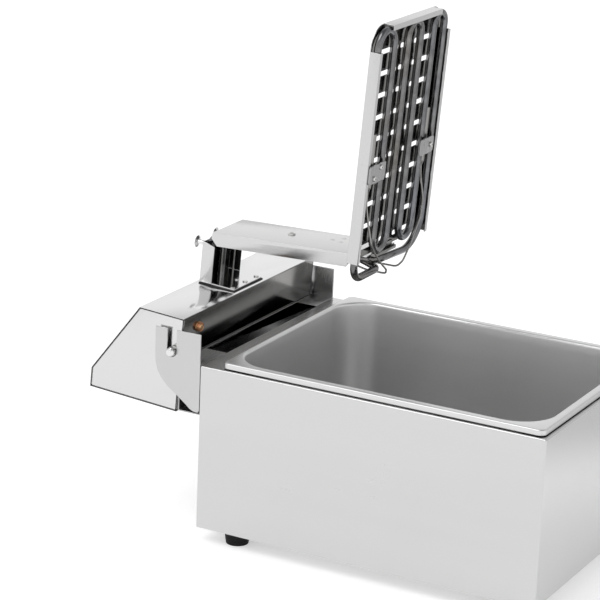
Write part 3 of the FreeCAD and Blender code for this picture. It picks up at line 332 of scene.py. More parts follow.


# Painted dark reflection: the guard plate's inner face and its skirts' inner faces get a darker base colour (keep
# 0.36).
M["guard"] = paint_shade_region(steel("guard_steel_mat", 0.585, 0.2, 0.05, 0.04, "Z", 560.0, 0.06, spots=0.1), 0.36,
                          v=(-161.75, -151.8), y=(66.4, 222.6), u=(None, 353.3))
# Painted shade: inside the riser channel the cover's base colour is darkened (keep 0.14).
M["cover"] = paint_shade_region(steel("cover_steel_mat", 0.615, 0.22, 0.04, 0.035, "X", 600.0, 0.05), 0.14,
                          v=(None, 37.6), y=(112.6, 172.2), u=(None, 86.0))
# Painted dark reflection: the far ear plate is darkened in a thin band at y 284 to 285.35.
M["ear"] = paint_shade_region(M["ear"], 0.3, y=(285.0 - 1.0, 285.35))
# Painted dark reflection: the head's underside below v = -7.9 gets a darker base colour (keep 0.34).
M["head"] = paint_shade_region(M["head"], 0.34, v=(None, -7.9))
M["clip"] = steel("clip_steel_mat", 0.4, 0.26, 0.06, 0.06, "Z", 700.0, 0.12, spots=0.3)
M["zinc"] = steel("zinc_mat", 0.66, 0.22, 0.06, 0.05, "Z", 900.0, 0.12, tint=(1.0, 1.0, 0.985))
M["stud"] = steel("turned_steel_mat", 0.74, 0.16, 0.04, 0.05, "Y", 1500.0, 0.1)


def sheath():
    """Element tube: dark oxidised alloy, patchy, with a little straw and blue heat tint."""
    k = Mat("element_sheath_mat")
    k.set(Metallic=1.0)
    a = k.noise(k.mapping((90.0, 90.0, 90.0)), 1.0, 5.0, 0.62, 0.3)
    b = k.noise(k.mapping((11.0, 11.0, 11.0), loc=(2.0, 5.0, 1.0)), 1.0, 3.0, 0.5)
    base = k.ramp(a, [(0.3, (0.1, 0.099, 0.1)), (0.55, (0.2, 0.198, 0.2)), (0.78, (0.32, 0.318, 0.315))])
    tint = k.ramp(b, [(0.25, (0.2, 0.17, 0.13)), (0.5, (0.18, 0.18, 0.185)), (0.75, (0.13, 0.15, 0.19))])
    k.color(k.mixc(0.35, base, tint))
    k.rough(k.range(a, 0.3, 0.75, 0.13, 0.27))
    k.normal(k.bump(a, 0.12, 0.0003))
    return k.m


M["sheath"] = sheath()
M["capillary"] = steel("capillary_mat", 0.3, 0.28, 0.06, 0.05, "Z", 1200.0, 0.08, tint=(1.0, 0.985, 0.96))
M["rubber"] = plain("rubber_mat", (0.004, 0.004, 0.0045), (0.011, 0.011, 0.0115), 0.62, 0.1, 500.0, 0.35, 0.0003)
[n for n in M["rubber"].node_tree.nodes if n.type == "BSDF_PRINCIPLED"][0].inputs["Specular IOR Level"].default_value = 0.15
M["gasket"] = plain("gasket_mat", (0.01, 0.01, 0.011), (0.03, 0.03, 0.03), 0.7, 0.1, 700.0, 0.4, 0.0002)
M["brass"] = steel("brass_mat", 0.7, 0.2, 0.05, 0.08, "Z", 1500.0, 0.15, tint=(1.0, 0.62, 0.33), smudge=0.2)
M["copper"] = steel("copper_mat", 0.72, 0.18, 0.06, 0.08, "Z", 1500.0, 0.15, tint=(1.0, 0.5, 0.28), smudge=0.2)
M["black"] = plain("black_plastic_mat", (0.012, 0.012, 0.013), (0.024, 0.024, 0.026), 0.38, 0.06, 900.0, 0.25, 0.0002)
M["dial"] = steel("dial_aluminium_mat", 0.78, 0.28, 0.04, 0.04, "Y", 1400.0, 0.08)
M["red"] = plain("red_plastic_mat", (0.42, 0.015, 0.01), (0.55, 0.03, 0.02), 0.22, 0.05, 600.0, 0.08, 0.0002, coat=0.4)
M["ceramic"] = plain("ceramic_mat", (0.66, 0.62, 0.54), (0.8, 0.77, 0.7), 0.55, 0.1, 500.0, 0.3, 0.0003)
M["mark"] = plain("dial_mark_mat", (0.008, 0.008, 0.009), (0.016, 0.016, 0.017), 0.5, 0.05, 900.0, 0.1, 0.0001)
M["white"] = plain("pointer_mat", (0.74, 0.74, 0.73), (0.86, 0.86, 0.85), 0.42, 0.05, 800.0, 0.1, 0.0001)


def lens(name, rgb):
    k = Mat(name)
    k.set(Roughness=0.12, IOR=1.49)
    k.set(**{"Transmission Weight": 0.35, "Coat Weight": 0.5})
    w = k.t.nodes.new("ShaderNodeTexWave")
    w.wave_type = "RINGS"
    w.inputs["Scale"].default_value = 900.0
    k.link(k.obj.outputs["Object"], w.inputs["Vector"])
    n = k.noise(k.mapping((300.0, 300.0, 300.0)), 1.0, 3.0, 0.5)
    k.color(k.ramp(n, [(0.3, tuple(c * 0.75 for c in rgb)), (0.7, rgb)]))
    k.normal(k.bump(w.outputs["Fac"], 0.1, 0.0003))
    return k.m


M["green"] = lens("green_lens_mat", (0.04, 0.5, 0.12))
M["amber"] = lens("amber_lens_mat", (0.9, 0.34, 0.03))

NODE_MAT = {
    "casing_shell": "casing", "base_plate": "casing_dark", "rear_bracket": "casing_dark", "ear_plate_near": "ear",
    "ear_plate_far": "ear", "ear_rivets": "zinc", "oil_pan": "pan", "rubber_feet": "rubber", "foot_screws": "zinc",
    "pivot_rollers": "zinc", "pivot_studs": "stud", "head_wrap": "head", "head_bottom_plate": "head",
    "end_cap_near": "cap", "end_cap_far": "cap", "bottom_plate_nuts": "zinc", "flange_gasket": "gasket",
    "element_flange": "head", "flange_screws": "zinc", "riser_cover": "cover", "drop_cover": "cover",
    "cover_screw": "zinc", "hanger_studs": "stud", "heating_element": "sheath", "element_terminals": "brass",
    "guard_plate": "guard", "leg_bracket": "guard", "bulb_clip_near": "clip", "bulb_clip_far": "clip",
    "clip_screws": "zinc", "thermostat_bulb": "capillary", "limiter_bulb": "capillary", "terminal_block": "ceramic",
    "control_thermostat": "black", "limit_thermostat": "black", "safety_switch": "black", "earth_stud": "brass",
    "cable_gland": "black", "gland_nut": "black", "dial_ring": "dial", "power_lamp": "green", "heat_lamp": "amber",
    "reset_collar": "black", "reset_button": "red", "control_knob": "black", "interlock_plunger": "brass",
}
BODY_OF = {n: b for b, ns in frame["record"]["behaviour"]["bodies"].items() for n in ns}


def put_material(obj, mat):
    obj.data.materials.clear()
    obj.data.materials.append(mat)


for n, o in frame["nodes"].items():
    if not o.material_slots:
        o.data.materials.append(M[NODE_MAT[n]])
    for s in o.material_slots:
        s.material = M[NODE_MAT[n]]


# ------------------------------------------------------------------ detail pieces


def new_obj(name, me):
    o = bpy.data.objects.new(name, me)
    scene.collection.objects.link(o)
    return o


def finish_piece(o, mat, body=None, node=None, stands=None, smooth=None):
    put_material(o, M[mat])
    if smooth is not None:
        for p in o.data.polygons:
            p.use_smooth = True
        bm = bmesh.new()
        bm.from_mesh(o.data)
        for e in bm.edges:
            if len(e.link_faces) == 2:
                e.smooth = e.calc_face_angle(0.0) < math.radians(smooth)
        bm.to_mesh(o.data)
        bm.free()
    if body is None:
        body = BODY_OF[node or stands]
    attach(o, body)
    if stands:
        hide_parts(stands)
    return o


def rings_mesh(name, rings, close_ends=False, loop=True):
    """Quads between rings of points that all have the same count."""
    bm = bmesh.new()
    rows = [[bm.verts.new(p) for p in r] for r in rings]
    n = len(rows[0])
    for a, b in zip(rows, rows[1:]):
        for k in range(n if loop else n - 1):
            j = (k + 1) % n
            if (a[k].co - a[j].co).length < 1e-7 and (b[k].co - b[j].co).length < 1e-7:
                continue
            try:
                bm.faces.new((a[k], a[j], b[j], b[k]))
            except ValueError:
                pass
    if close_ends:
        for r in (rows[0], rows[-1]):
            try:
                bm.faces.new(r)
            except ValueError:
                pass
    bmesh.ops.recalc_face_normals(bm, faces=bm.faces[:])
    me_ = bpy.data.meshes.new(name)
    bm.to_mesh(me_)
    bm.free()
    return me_


def lathe(name, profile, matrix, seg=40, fn=None):
    """Turned piece: profile of (radius, height) in mm about local Z, placed by matrix (metres)."""
    rings = []
    for r, h in profile:
        ring = []
        for k in range(seg):
            a = 2 * math.pi * k / seg
            rr = fn(r, h, a) if fn else r
            ring.append(matrix @ Vector((rr * MM * math.cos(a), rr * MM * math.sin(a), h * MM)))
        rings.append(ring)
    return new_obj(name, rings_mesh(name, rings, True))


def join_meshes(name, objs):
    bm = bmesh.new()
    for o in objs:
        bm.from_mesh(o.data)
        bpy.data.objects.remove(o)
    me_ = bpy.data.meshes.new(name)
    bm.to_mesh(me_)
    bm.free()
    return new_obj(name, me_)


def soft_sheet(node, mat, fold=0.45, edge=0.24, big=300.0, seg=3):
    """Copy of a folded-sheet node with rounded folds and broken edges."""
    src = frame["nodes"][node]
    bm = bmesh.new()
    bm.from_mesh(src.data)
    bm.transform(src.matrix_world)
    bmesh.ops.remove_doubles(bm, verts=bm.verts[:], dist=2e-6)
    bmesh.ops.dissolve_limit(bm, angle_limit=math.radians(0.6), verts=bm.verts[:], edges=bm.edges[:])
    bm.normal_update()
    wl = bm.edges.layers.float.get("bevel_weight_edge") or bm.edges.layers.float.new("bevel_weight_edge")
    for e in bm.edges:
        e[wl] = 0.0
        if len(e.link_faces) != 2:
            continue
        if e.calc_face_angle(0.0) < math.radians(35):
            continue
        areas = sorted(f.calc_area() * 1e6 for f in e.link_faces)
        e[wl] = 1.0 if (areas[0] > big and e.calc_length() > 0.02) else edge / fold
    me_ = bpy.data.meshes.new(node + "_rounded")
    bm.to_mesh(me_)
    bm.free()
    o = new_obj(node + "_rounded", me_)
    bv = o.modifiers.new("edges", "BEVEL")
    bv.limit_method = "WEIGHT"
    bv.width = fold * MM
    bv.segments = seg
    bv.use_clamp_overlap = True
    bv.harden_normals = False
    for p in o.data.polygons:
        p.use_smooth = True
    dg = bpy.context.evaluated_depsgraph_get()
    ev = o.evaluated_get(dg)
    me2 = bpy.data.meshes.new_from_object(ev)
    o.modifiers.clear()
    old = o.data
    o.data = me2
    bpy.data.meshes.remove(old)
    return finish_piece(o, mat, stands=node, smooth=32)


# Oil pan: drawn tank with a rolled mouth, flat rim and turned-down lip, as one smooth skin with thickness.
def rr_ring(x0, y0, x1, y1, r, z, per=10, side=1):
    pts = []
    for cx, cy, a0 in ((x1 - r, y1 - r, 0), (x0 + r, y1 - r, 90), (x0 + r, y0 + r, 180), (x1 - r, y0 + r, 270)):
        for k in range(per + 1):
            a = math.radians(a0 + 90.0 * k / per)
            pts.append(W3(cx + r * math.cos(a), cy + r * math.sin(a), z))
    return pts


PX0, PX1, PY0, PY1, PC, PFZ, PSK, PFB = 27.4, 362.0, 14.0, 271.0, 38.0, 10.5, 1.0, 20.0
RX0, RX1, RY0, RY1, RTZ, RLZ, RCN = 22.4, 371.6, 4.0, 281.0, 179.6, 174.0, 7.0
DR = math.tan(math.radians(5.0))


def wall_ring(z, off=0.0):
    run = (RTZ - z) * DR
    r = max(4.0, PC - 0.45 * run + off)
    return rr_ring(PX0 + run - off, PY0 + run - off, PX1 - run + off, PY1 - run + off, r, z)


def inset_ring(x0, y0, x1, y1, r, z, off):
    return rr_ring(x0 - off, y0 - off, x1 + off, y1 + off, max(0.6, r + off), z)


def pan_rings(off):
    """Rings from the lip's lower edge over the rim and down the inside; off is the skin offset outward."""
    out = []
    # lip, outside
    lo = -off
    for z in (RLZ, RTZ - 1.6):
        out.append(inset_ring(RX0, RY0, RX1, RY1, RCN, z, lo))
    for k in range(1, 6):
        a = math.radians(90.0 * k / 5)
        rad = max(0.3, 1.6 - off)
        out.append(inset_ring(RX0, RY0, RX1, RY1, RCN, RTZ - 1.6 + rad * math.sin(a), -(1.6 - rad * math.cos(a))))
    # rolled mouth
    mr = 3.0 - 0.0
    top = RTZ - off
    run0 = 0.0
    for k in range(0, 8):
        a = math.radians((90.0 - 5.0) * k / 7)
        rad = mr - off
        # centre sits below the rim, outside the wall
        z = RTZ - mr + rad * math.cos(a)
        dz = RTZ - z
        shift = mr * 0.92 - rad * math.sin(a)
        out.append(inset_ring(PX0, PY0, PX1, PY1, PC, z, shift))
    # wall with its draft
    bend_top = PFZ + PFB * 0.93
    for z in (RTZ - 12.0, RTZ - 45.0, RTZ - 90.0, RTZ - 130.0, bend_top):
        out.append(wall_ring(z, off))
    # floor bend
    run_b = (RTZ - bend_top) * DR
    for k in range(1, 9):
        a = math.radians(85.0 * k / 8)
        dx = PFB * (1 - math.cos(a))
        z = bend_top - PFB * 0.93 * math.sin(a) / math.sin(math.radians(85.0))
        z0 = z - off * math.sin(a)
        r = max(3.0, PC - 0.45 * run_b - 0.45 * dx + off * math.cos(a))
        q = run_b + dx - off * math.cos(a)
        out.append(rr_ring(PX0 + q, PY0 + q, PX1 - q, PY1 - q, r, z0))
    q = run_b + PFB * 1.6
    out.append(rr_ring(PX0 + q, PY0 + q, PX1 - q, PY1 - q, 10.0, PFZ - off))
    return out


inner = pan_rings(0.0)
outer = pan_rings(PSK)
bm = bmesh.new()
rows_i = [[bm.verts.new(p) for p in r] for r in inner]
rows_o = [[bm.verts.new(p) for p in r] for r in outer]


def skin_faces(rows, flip):
    n = len(rows[0])
    for a, b in zip(rows, rows[1:]):
        for k in range(n):
            j = (k + 1) % n
            f = (a[k], a[j], b[j], b[k])
            bm.faces.new(f[::-1] if flip else f)
    bm.faces.new(rows[-1] if not flip else rows[-1][::-1])


skin_faces(rows_i, False)
skin_faces(rows_o, True)
n = len(rows_i[0])
for k in range(n):
    j = (k + 1) % n
    bm.faces.new((rows_i[0][j], rows_i[0][k], rows_o[0][k], rows_o[0][j]))
bmesh.ops.recalc_face_normals(bm, faces=bm.faces[:])
me = bpy.data.meshes.new("oil_pan_skin")
bm.to_mesh(me)
bm.free()
finish_piece(new_obj("oil_pan_skin", me), "pan", stands="oil_pan", smooth=40)

for nm, mt, fd in (("casing_shell", "casing", 0.45), ("head_wrap", "head", 0.45), ("riser_cover", "cover", 0.45),
                   ("drop_cover", "cover", 0.45), ("ear_plate_near", "ear", 0.3), ("ear_plate_far", "ear", 0.3),
                   ("rear_bracket", "casing_dark", 0.4), ("guard_plate", "guard", 0.4),
                   ("leg_bracket", "guard", 0.3), ("end_cap_near", "cap", 0.3), ("end_cap_far", "cap", 0.3)):
    soft_sheet(nm, mt, fd)


# Painted shade: a thin dark strip round the end caps, in the seam between cap and wrap sheet, stands in for the shade
# in that seam.
OUTLINE = [(-64.3, 95.3), (-43.4, 95.3), (35.1, 44.1), (35.1, -8.4), (-64.3, -8.4)]


def inset_outline(pts, dist):
    res = []
    m_ = len(pts)
    for k in range(m_):
        p0, p1, p2 = Vector(pts[k - 1]), Vector(pts[k]), Vector(pts[(k + 1) % m_])
        d1, d2 = (p1 - p0).normalized(), (p2 - p1).normalized()
        n1, n2 = Vector((d1.y, -d1.x)), Vector((d2.y, -d2.x))
        bis = (n1 + n2).normalized()
        res.append(p1 + bis * (dist / max(0.3, bis.dot(n1))))
    return res


# Dark strips of painted shade in the cap seams, one per end cap.
for side_name, ya_, yb_, node_ in (("near", 4.9, 4.985, "end_cap_near"), ("far", 280.1, 280.015, "end_cap_far")):
    a_, b_ = inset_outline(OUTLINE, 0.25), inset_outline(OUTLINE, 1.35)
    rings_ = [[H3(q.x, yy, q.y) for q in pp] for pp, yy in ((a_, yb_), (a_, ya_), (b_, ya_), (b_, yb_), (a_, yb_))]
    finish_piece(new_obj("cap_seam_shade_" + side_name, rings_mesh("cap_seam_shade_" + side_name, rings_)), "gasket", node=node_)


# Screw heads with a cross recess.
def cross_head(name, matrix, rad, hgt, rec=0.55):
    def fn(r, h, a):
        return r
    prof = [(rad * 0.98, 0.0), (rad, hgt * 0.35), (rad * 0.93, hgt * 0.68), (rad * 0.74, hgt * 0.9),
            (rad * 0.5, hgt * 0.985), (rad * 0.3, hgt)]
    seg = 32
    rings = []
    for r, h in prof:
        rings.append([matrix @ Vector((r * MM * math.cos(2 * math.pi * k / seg), r * MM * math.sin(2 * math.pi * k / seg), h * MM))
                      for k in range(seg)])
    # recess: the last rings pinch to a cross and go down
    def cross(scale, h):
        ring = []
        for k in range(seg):
            a = 2 * math.pi * k / seg
            c = abs(math.cos(2 * a)) ** 3
            rr = rad * (0.13 + rec * c * 0.75) * scale
            ring.append(matrix @ Vector((rr * MM * math.cos(a), rr * MM * math.sin(a), h * MM)))
        return ring
    rings[-1] = cross(1.0, hgt * 0.97)
    rings.append(cross(0.86, hgt * 0.3))
    return new_obj(name, rings_mesh(name, rings, True))


def dome(name, matrix, rad, hgt):
    prof = [(rad * math.cos(math.radians(t)), hgt * math.sin(math.radians(t))) for t in (0, 15, 30, 45, 60, 75, 87)]
    return lathe(name, [(rad, -0.05)] + prof, matrix, 28)


out_web = (math.cos(math.radians(5.56)), math.sin(math.radians(5.56)))
box_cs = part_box("cover_screw")


def box_mid(node):
    a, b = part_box(node)
    return (Vector(a) + Vector(b)) / 2


web_dir = Vector((out_web[0] * CT - out_web[1] * ST, 0, out_web[0] * ST + out_web[1] * CT))
mcs = world_matrix(box_mid("cover_screw") - web_dir * 0.00075, web_dir)
finish_piece(cross_head("cover_screw_head", mcs, 4.1, 1.9), "zinc", stands="cover_screw", smooth=35)

# clip screws: pan heads with recess, pointing to -v
heads = []
for i, (uu, yy) in enumerate(((211.5, 92.0), (202.0, 79.5), (212.5, 204.0))):
    heads.append(cross_head("clip_head_%d" % i, head_matrix(uu, yy, -164.2, (0, -1)), 2.7, 2.1))
finish_piece(join_meshes("clip_screw_heads", heads), "zinc", stands="clip_screws", smooth=35)


def clip_strap(name, u0, u1, ya, yb, bumps, node, tail):
    """Thin pressed strap: humps over the tube and the bulb, ears for the screws, one leg up to the plate."""
    rings = []
    nseg = 44
    th = 1.1
    top, low = [], []
    for k in range(nseg + 1):
        y = ya + (yb - ya) * k / nseg
        h = 0.0
        for c, w, a in bumps:
            t = (y - c) / w
            if abs(t) < 1:
                h = max(h, a * (0.5 + 0.5 * math.cos(math.pi * t)))
        top.append((y, -163.05 - h * 0.0 + 0.0))
        low.append((y, -163.05 - th - h))
    bm2 = bmesh.new()
    rows = []
    for (y, vt_), (_, vl_) in zip(top, low):
        e = min(1.0, min(y - ya, yb - y) / 3.2)
        trim = (1 - math.sqrt(max(0.0, 1 - (1 - e) ** 2))) * 3.0
        a0, a1 = u0 + trim, u1 - trim
        rows.append([bm2.verts.new(H3(a0 + 0.25, y, vl_)), bm2.verts.new(H3(a0, y, vl_ + 0.3)), bm2.verts.new(H3(a0, y, vt_)),
                     bm2.verts.new(H3(a1, y, vt_)), bm2.verts.new(H3(a1, y, vl_ + 0.3)), bm2.verts.new(H3(a1 - 0.25, y, vl_))])
    for a, b in zip(rows, rows[1:]):
        for k in range(6):
            j = (k + 1) % 6
            bm2.faces.new((a[k], a[j], b[j], b[k]))
    bm2.faces.new(rows[0])
    bm2.faces.new(rows[-1][::-1])
    lu0, lu1, ly0, ly1 = tail
    vs = []
    for v in (-163.1, -152.4):
        for (uu, yy) in ((lu0, ly0), (lu1, ly0), (lu1, ly1), (lu0, ly1)):
            vs.append(bm2.verts.new(H3(uu, yy, v)))
    for q in ((0, 1, 2, 3), (7, 6, 5, 4), (0, 4, 5, 1), (1, 5, 6, 2), (2, 6, 7, 3), (3, 7, 4, 0)):
        bm2.faces.new([vs[k] for k in q])
    bmesh.ops.recalc_face_normals(bm2, faces=bm2.faces[:])
    me_ = bpy.data.meshes.new(name)
    bm2.to_mesh(me_)
    bm2.free()
    o = new_obj(name, me_)
    bv = o.modifiers.new("edge", "BEVEL")
    bv.width = 0.22 * MM
    bv.segments = 2
    bv.limit_method = "ANGLE"
    bv.angle_limit = math.radians(50)
    return finish_piece(o, "clip", stands=node, smooth=40)


clip_strap("clip_strap_near", 197.0, 216.0, 68.4, 103.7, [(72.5, 5.0, 1.1), (86.0, 5.0, 1.0), (99.0, 4.5, 0.9)],
           "bulb_clip_near", (203.3, 209.7, 92.6, 95.2))
clip_strap("clip_strap_far", 204.0, 221.0, 179.8, 210.8, [(186.0, 5.0, 1.1), (196.5, 4.0, 0.8)],
           "bulb_clip_far", (209.3, 215.7, 197.5, 200.1))

# rivets: domed heads where the record's rivets are
rv = frame["nodes"]["ear_rivets"]
bm = bmesh.new()
bm.from_mesh(rv.data)
bmesh.ops.remove_doubles(bm, verts=bm.verts[:], dist=2e-6)
todo = set(bm.verts)
groups = []
while todo:
    st = [todo.pop()]
    g = []
    while st:
        v = st.pop()
        g.append(v.co.copy())
        for e in v.link_edges:
            w = e.other_vert(v)
            if w in todo:
                todo.remove(w)
                st.append(w)
    groups.append(g)
bm.free()
riv = []
for i, g in enumerate(groups):
    lo = Vector([min(c[k] for c in g) for k in range(3)])
    hi = Vector([max(c[k] for c in g) for k in range(3)])
    mid = (lo + hi) / 2
    rad = max(hi.x - lo.x, hi.z - lo.z) / 2 / MM
    ln = (hi.y - lo.y) / MM
    away = -1.0 if mid.y < 0 else 1.0
    base = Vector((mid.x, lo.y if away > 0 else hi.y, mid.z))
    m4 = world_matrix(base, (0, away, 0))
    riv.append(lathe("rivet_%d" % i, [(rad * 0.99, 0.0), (rad, ln * 0.35), (rad * 0.9, ln * 0.62), (rad * 0.62, ln * 0.86),
                                      (rad * 0.36, ln * 0.93), (rad * 0.33, ln * 0.74), (rad * 0.05, ln * 0.72)], m4, 28))
finish_piece(join_meshes("rivet_heads", riv), "zinc", stands="ear_rivets", smooth=38)



# Knob: fluted grip with a domed top and a white pointer line; dial ring gets ticks and numbers.
SDU, SDV = -0.8376, 0.5463
SNU, SNV = 0.5463, 0.8376


def uv_dir(du, dv):
    return Vector((du * CT - dv * ST, 0.0, du * ST + dv * CT))


slope_n, slope_d = uv_dir(SNU, SNV), uv_dir(SDU, SDV)


def box_points(node):
    o = frame["nodes"][node]
    return [o.matrix_world @ v.co for v in o.data.vertices]


def along_axis(node, axis):
    """Lowest and highest reach of a node along an axis, and its mid point across it."""
    pts = box_points(node)
    d0 = [p.dot(axis) for p in pts]
    mid = (Vector(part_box(node)[0]) + Vector(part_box(node)[1])) / 2
    return min(d0), max(d0), mid


def panel_matrix(node, axis=None, flip=False):
    ax = axis or slope_n
    a0, a1, mid = along_axis(node, ax)
    base = mid + ax * (a0 - mid.dot(ax))
    x = slope_d
    y_ = ax.cross(x)
    m = Matrix((x, y_, ax)).transposed().to_4x4()
    m.translation = base
    return m, (a1 - a0) / MM


km, kh = panel_matrix("control_knob")


def flute(r, h, a):
    return r - (0.75 * (0.5 + 0.5 * math.cos(20 * a)) ** 2 if 1.5 < h < kh * 0.86 and r > 12 else 0.0)


kr = 17.9
kn = lathe("knob_grip", [(kr * 0.96, 0.0), (kr, 0.5), (kr, 1.4), (kr * 0.985, 1.6), (kr * 0.95, kh * 0.5), (kr * 0.93, kh * 0.84),
                         (kr * 0.9, kh * 0.92), (kr * 0.84, kh * 0.97), (kr * 0.7, kh * 0.985), (kr * 0.68, kh * 0.95),
                         (kr * 0.4, kh * 0.94), (kr * 0.06, kh * 0.94)], km, 160, flute)
finish_piece(kn, "black", stands="control_knob", smooth=30)


def bar(name, m, x0, x1, y0, y1, z0, z1, mat, node, bev=0.15):
    bmx = bmesh.new()
    vs = [bmx.verts.new(m @ Vector((x * MM, y * MM, z * MM))) for z in (z0, z1) for (x, y) in ((x0, y0), (x1, y0), (x1, y1), (x0, y1))]
    for q in ((3, 2, 1, 0), (4, 5, 6, 7), (0, 1, 5, 4), (1, 2, 6, 5), (2, 3, 7, 6), (3, 0, 4, 7)):
        bmx.faces.new([vs[k] for k in q])
    bmesh.ops.bevel(bmx, geom=bmx.edges[:], offset=bev * MM, segments=2, profile=0.5, affect="EDGES")
    me_ = bpy.data.meshes.new(name)
    bmx.to_mesh(me_)
    bmx.free()
    return finish_piece(new_obj(name, me_), mat, body=BODY_OF[node], node=node, smooth=35)


bar("knob_pointer", km, 4.0, kr * 0.9, -0.8, 0.8, kh * 0.9, kh * 0.975, "white", "control_knob")

# dial marks on the ring, as thin printed shapes
dm, dh = panel_matrix("dial_ring")
dr = max((Vector(p) - dm.translation).cross(slope_n).length for p in box_points("dial_ring")) / MM
tick_objs = []
for i in range(0, 33):
    ang = math.radians(-60 + 300.0 * i / 32)
    major = i % 4 == 0
    r1 = dr - 0.9
    r0 = r1 - (1.9 if major else 1.1)
    w = 0.32 if major else 0.18
    c, s_ = math.cos(ang), math.sin(ang)
    q = [(r0, -w), (r1, -w), (r1, w), (r0, w)]
    bmx = bmesh.new()
    low = [bmx.verts.new(dm @ Vector(((x * c - y * s_) * MM, (x * s_ + y * c) * MM, (dh + 0.01) * MM))) for x, y in q]
    top = [bmx.verts.new(dm @ Vector(((x * c - y * s_) * MM, (x * s_ + y * c) * MM, (dh + 0.07) * MM))) for x, y in q]
    bmx.faces.new(top)
    for k in range(4):
        j = (k + 1) % 4
        bmx.faces.new((low[k], low[j], top[j], top[k]))
    me_ = bpy.data.meshes.new("tick_%d" % i)
    bmx.to_mesh(me_)
    bmx.free()
    tick_objs.append(new_obj("tick_%d" % i, me_))
finish_piece(join_meshes("dial_ticks", tick_objs), "mark", node="dial_ring")
nums = []
for i, txt in enumerate(("0", "60", "80", "100", "120", "140", "160", "180", "190")):
    ang = math.radians(-60 + 300.0 * i / 8)
    cu = bpy.data.curves.new("dial_number_%d" % i, "FONT")
    cu.body = txt
    cu.size = 3.6 * MM
    cu.align_x = "CENTER"
    cu.align_y = "CENTER"
    cu.extrude = 0.03 * MM
    o = bpy.data.objects.new("dial_number_%d" % i, cu)
    scene.collection.objects.link(o)
    rr = dr + 3.4
    o.matrix_world = dm @ Matrix.Translation(Vector((rr * math.cos(ang) * MM, rr * math.sin(ang) * MM, 0.08 * MM))) @ \
        Matrix.Rotation(math.radians(-90.0), 4, "Z")
    bpy.context.view_layer.update()
    me_ = bpy.data.meshes.new_from_object(o.evaluated_get(bpy.context.evaluated_depsgraph_get()))
    me_.transform(o.matrix_world)
    bpy.data.objects.remove(o)
    nums.append(new_obj("dial_number_mesh_%d" % i, me_))
finish_piece(join_meshes("dial_numbers", nums), "mark", node="dial_ring")

# Interlock plunger: stepped brass pin with a copper spring round it, standing out of the bottom plate.
pa0, pa1, pmid = along_axis("interlock_plunger", uv_dir(0, -1))
bot = uv_dir(0, -1)
tip = pmid + bot * (pa1 - pmid.dot(bot))
pm = world_matrix(tip, bot)
pl = lathe("plunger_pin", [(3.0, -24.0), (3.2, -23.6), (3.2, -6.4), (5.3, -6.2), (5.45, -5.9), (5.45, -4.3), (5.2, -4.0), (3.5, -3.8),
                           (3.5, -1.3), (3.3, -0.7), (2.7, -0.2), (1.8, 0.0)], pm, 36)
finish_piece(pl, "brass", stands="interlock_plunger", smooth=35)
turns, wire, seg = 3.2, 0.52, 8
path = []
for k in range(int(turns * 28) + 1):
    a = 2 * math.pi * k / 28
    path.append(Vector((4.25 * math.cos(a), 4.25 * math.sin(a), -3.6 + 2.9 * k / (turns * 28))))
rings = []
for k, c in enumerate(path):
    a = 2 * math.pi * k / 28
    rad_d = Vector((math.cos(a), math.sin(a), 0))
    rings.append([pm @ ((c + rad_d * wire * math.cos(2 * math.pi * j / seg) + Vector((0, 0, 1)) * wire * math.sin(2 * math.pi * j / seg)) * MM)
                  for j in range(seg)])
finish_piece(new_obj("plunger_spring", rings_mesh("plunger_spring", rings, True)), "copper", body=BODY_OF["interlock_plunger"],
             node="interlock_plunger", smooth=60)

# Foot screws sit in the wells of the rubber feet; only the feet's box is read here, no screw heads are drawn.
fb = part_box("rubber_feet")

# Spot-weld marks on the drop cover's web
welds = []
for (vv, yy) in ((-92.0, 150.5), (-100.0, 160.5), (-103.5, 146.5)):
    uu = 94.8 + 0.0973 * (15.5 - vv)
    p0 = W3(PIN_X + uu * CT - vv * ST, yy, PIN_Z + uu * ST + vv * CT)
    wm = world_matrix(p0 + web_dir * 0.00001, web_dir)
    welds.append(lathe("weld_%d" % vv, [(2.3, 0.0), (2.25, 0.09), (1.9, 0.12), (1.7, 0.05), (1.3, 0.03), (0.2, 0.03)], wm, 24))
finish_piece(join_meshes("weld_marks", welds), "ear", node="drop_cover", smooth=60)
# ------------------------------------------------------------------ lights, floor, world
FLOOR_GLOW = 0.42
scene.view_settings.view_transform = "Standard"
scene.view_settings.look = "None"
scene.view_settings.exposure = 0.0

world = bpy.data.worlds.new("studio")
scene.world = world
world.use_nodes = True
wt = world.node_tree
wt.nodes.clear()
wo = wt.nodes.new("ShaderNodeOutputWorld")
bg = wt.nodes.new("ShaderNodeBackground")
tc = wt.nodes.new("ShaderNodeTexCoord")
sep = wt.nodes.new("ShaderNodeSeparateXYZ")
wt.links.new(tc.outputs["Generated"], sep.inputs[0])


def wmath(op, a, b=0.0):
    n = wt.nodes.new("ShaderNodeMath")
    n.operation = op
    for k, x in enumerate((a, b)):
        if isinstance(x, (int, float)):
            n.inputs[k].default_value = x
        else:
            wt.links.new(x, n.inputs[k])
    return n.outputs[0]


def wrange(v, a, b, c, d):
    n = wt.nodes.new("ShaderNodeMapRange")
    n.interpolation_type = "SMOOTHSTEP"
    for k, x in zip(("From Min", "From Max", "To Min", "To Max"), (a, b, c, d)):
        n.inputs[k].default_value = x
    wt.links.new(v, n.inputs["Value"])
    return n.outputs["Result"]


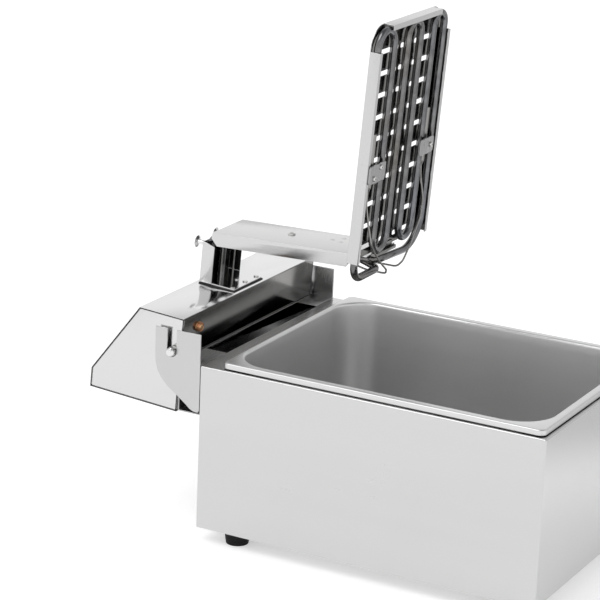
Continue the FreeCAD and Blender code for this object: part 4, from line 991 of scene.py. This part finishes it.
# white all round up to about 30 degrees, dimmer overhead, with one dark side of the room at the back right
level = wrange(sep.outputs["Z"], 0.42, 0.95, 1.0, 0.3)
side = wmath("ADD", wmath("MULTIPLY", sep.outputs["X"], 0.47), wmath("MULTIPLY", sep.outputs["Y"], 0.88))
dark = wrange(side, 0.7, 0.88, 0.0, 0.3)
val = wmath("MULTIPLY", level, wmath("SUBTRACT", 1.0, dark))
comb = wt.nodes.new("ShaderNodeCombineColor")
for k in range(3):
    wt.links.new(val, comb.inputs[k])
wt.links.new(comb.outputs[0], bg.inputs["Color"])
wt.links.new(bg.outputs[0], wo.inputs["Surface"])
bg.inputs["Strength"].default_value = 1.02

me = bpy.data.meshes.new("floor")
S = 30.0
me.from_pydata([(-S, -S, 0), (S, -S, 0), (S, S, 0), (-S, S, 0)], [], [(0, 1, 2, 3)])
floor = bpy.data.objects.new("floor", me)
scene.collection.objects.link(floor)
kf = Mat("floor_mat")
kf.set(Roughness=0.9, **{"Specular IOR Level": 0.1})
nf = kf.noise(kf.mapping((9.0, 9.0, 9.0)), 1.0, 3.0, 0.5)
sepf = kf.t.nodes.new("ShaderNodeSeparateXYZ")
kf.link(kf.obj.outputs["Object"], sepf.inputs[0])
# the floor turns dark towards the back right of the room, outside the picture
over = kf.math("SUBTRACT", kf.math("ADD", sepf.outputs["X"], kf.math("MULTIPLY", sepf.outputs["Y"], 0.388)), 0.232)
fade = kf.math("MULTIPLY", kf.range(over, 0.1, 0.3, 0.0, 1.0), kf.range(sepf.outputs["Y"], 0.2, 0.42, 0.0, 1.0))
kf.color(kf.mixc(fade, kf.ramp(nf, [(0.3, (0.8, 0.8, 0.8)), (0.7, (0.82, 0.82, 0.82))]), (0.55, 0.55, 0.55)))
glow = kf.math("SUBTRACT", 1.0, kf.math("MULTIPLY", fade, 0.35))
comb = kf.t.nodes.new("ShaderNodeCombineColor")
for k in range(3):
    kf.link(glow, comb.inputs[k])
kf.link(comb.outputs[0], kf.b.inputs["Emission Color"])
kf.set(**{"Emission Strength": FLOOR_GLOW})
floor.data.materials.append(kf.m)


def area(name, loc, target, size, power, size_y=None):
    ld = bpy.data.lights.new(name, "AREA")
    ld.shape = "RECTANGLE" if size_y else "SQUARE"
    ld.size = size
    if size_y:
        ld.size_y = size_y
    ld.energy = power
    lo = bpy.data.objects.new(name, ld)
    scene.collection.objects.link(lo)
    d = (Vector(target) - Vector(loc)).normalized()
    lo.matrix_world = Matrix.Translation(Vector(loc)) @ d.to_track_quat("-Z", "Y").to_matrix().to_4x4()
    return lo


sun_d = bpy.data.lights.new("key_sun", "SUN")
sun_d.energy = 0.9
sun_d.angle = math.radians(40)
sun = bpy.data.objects.new("key_sun", sun_d)
scene.collection.objects.link(sun)
sun.matrix_world = Vector((0.35, 0.45, -1.0)).to_track_quat("-Z", "Y").to_matrix().to_4x4()
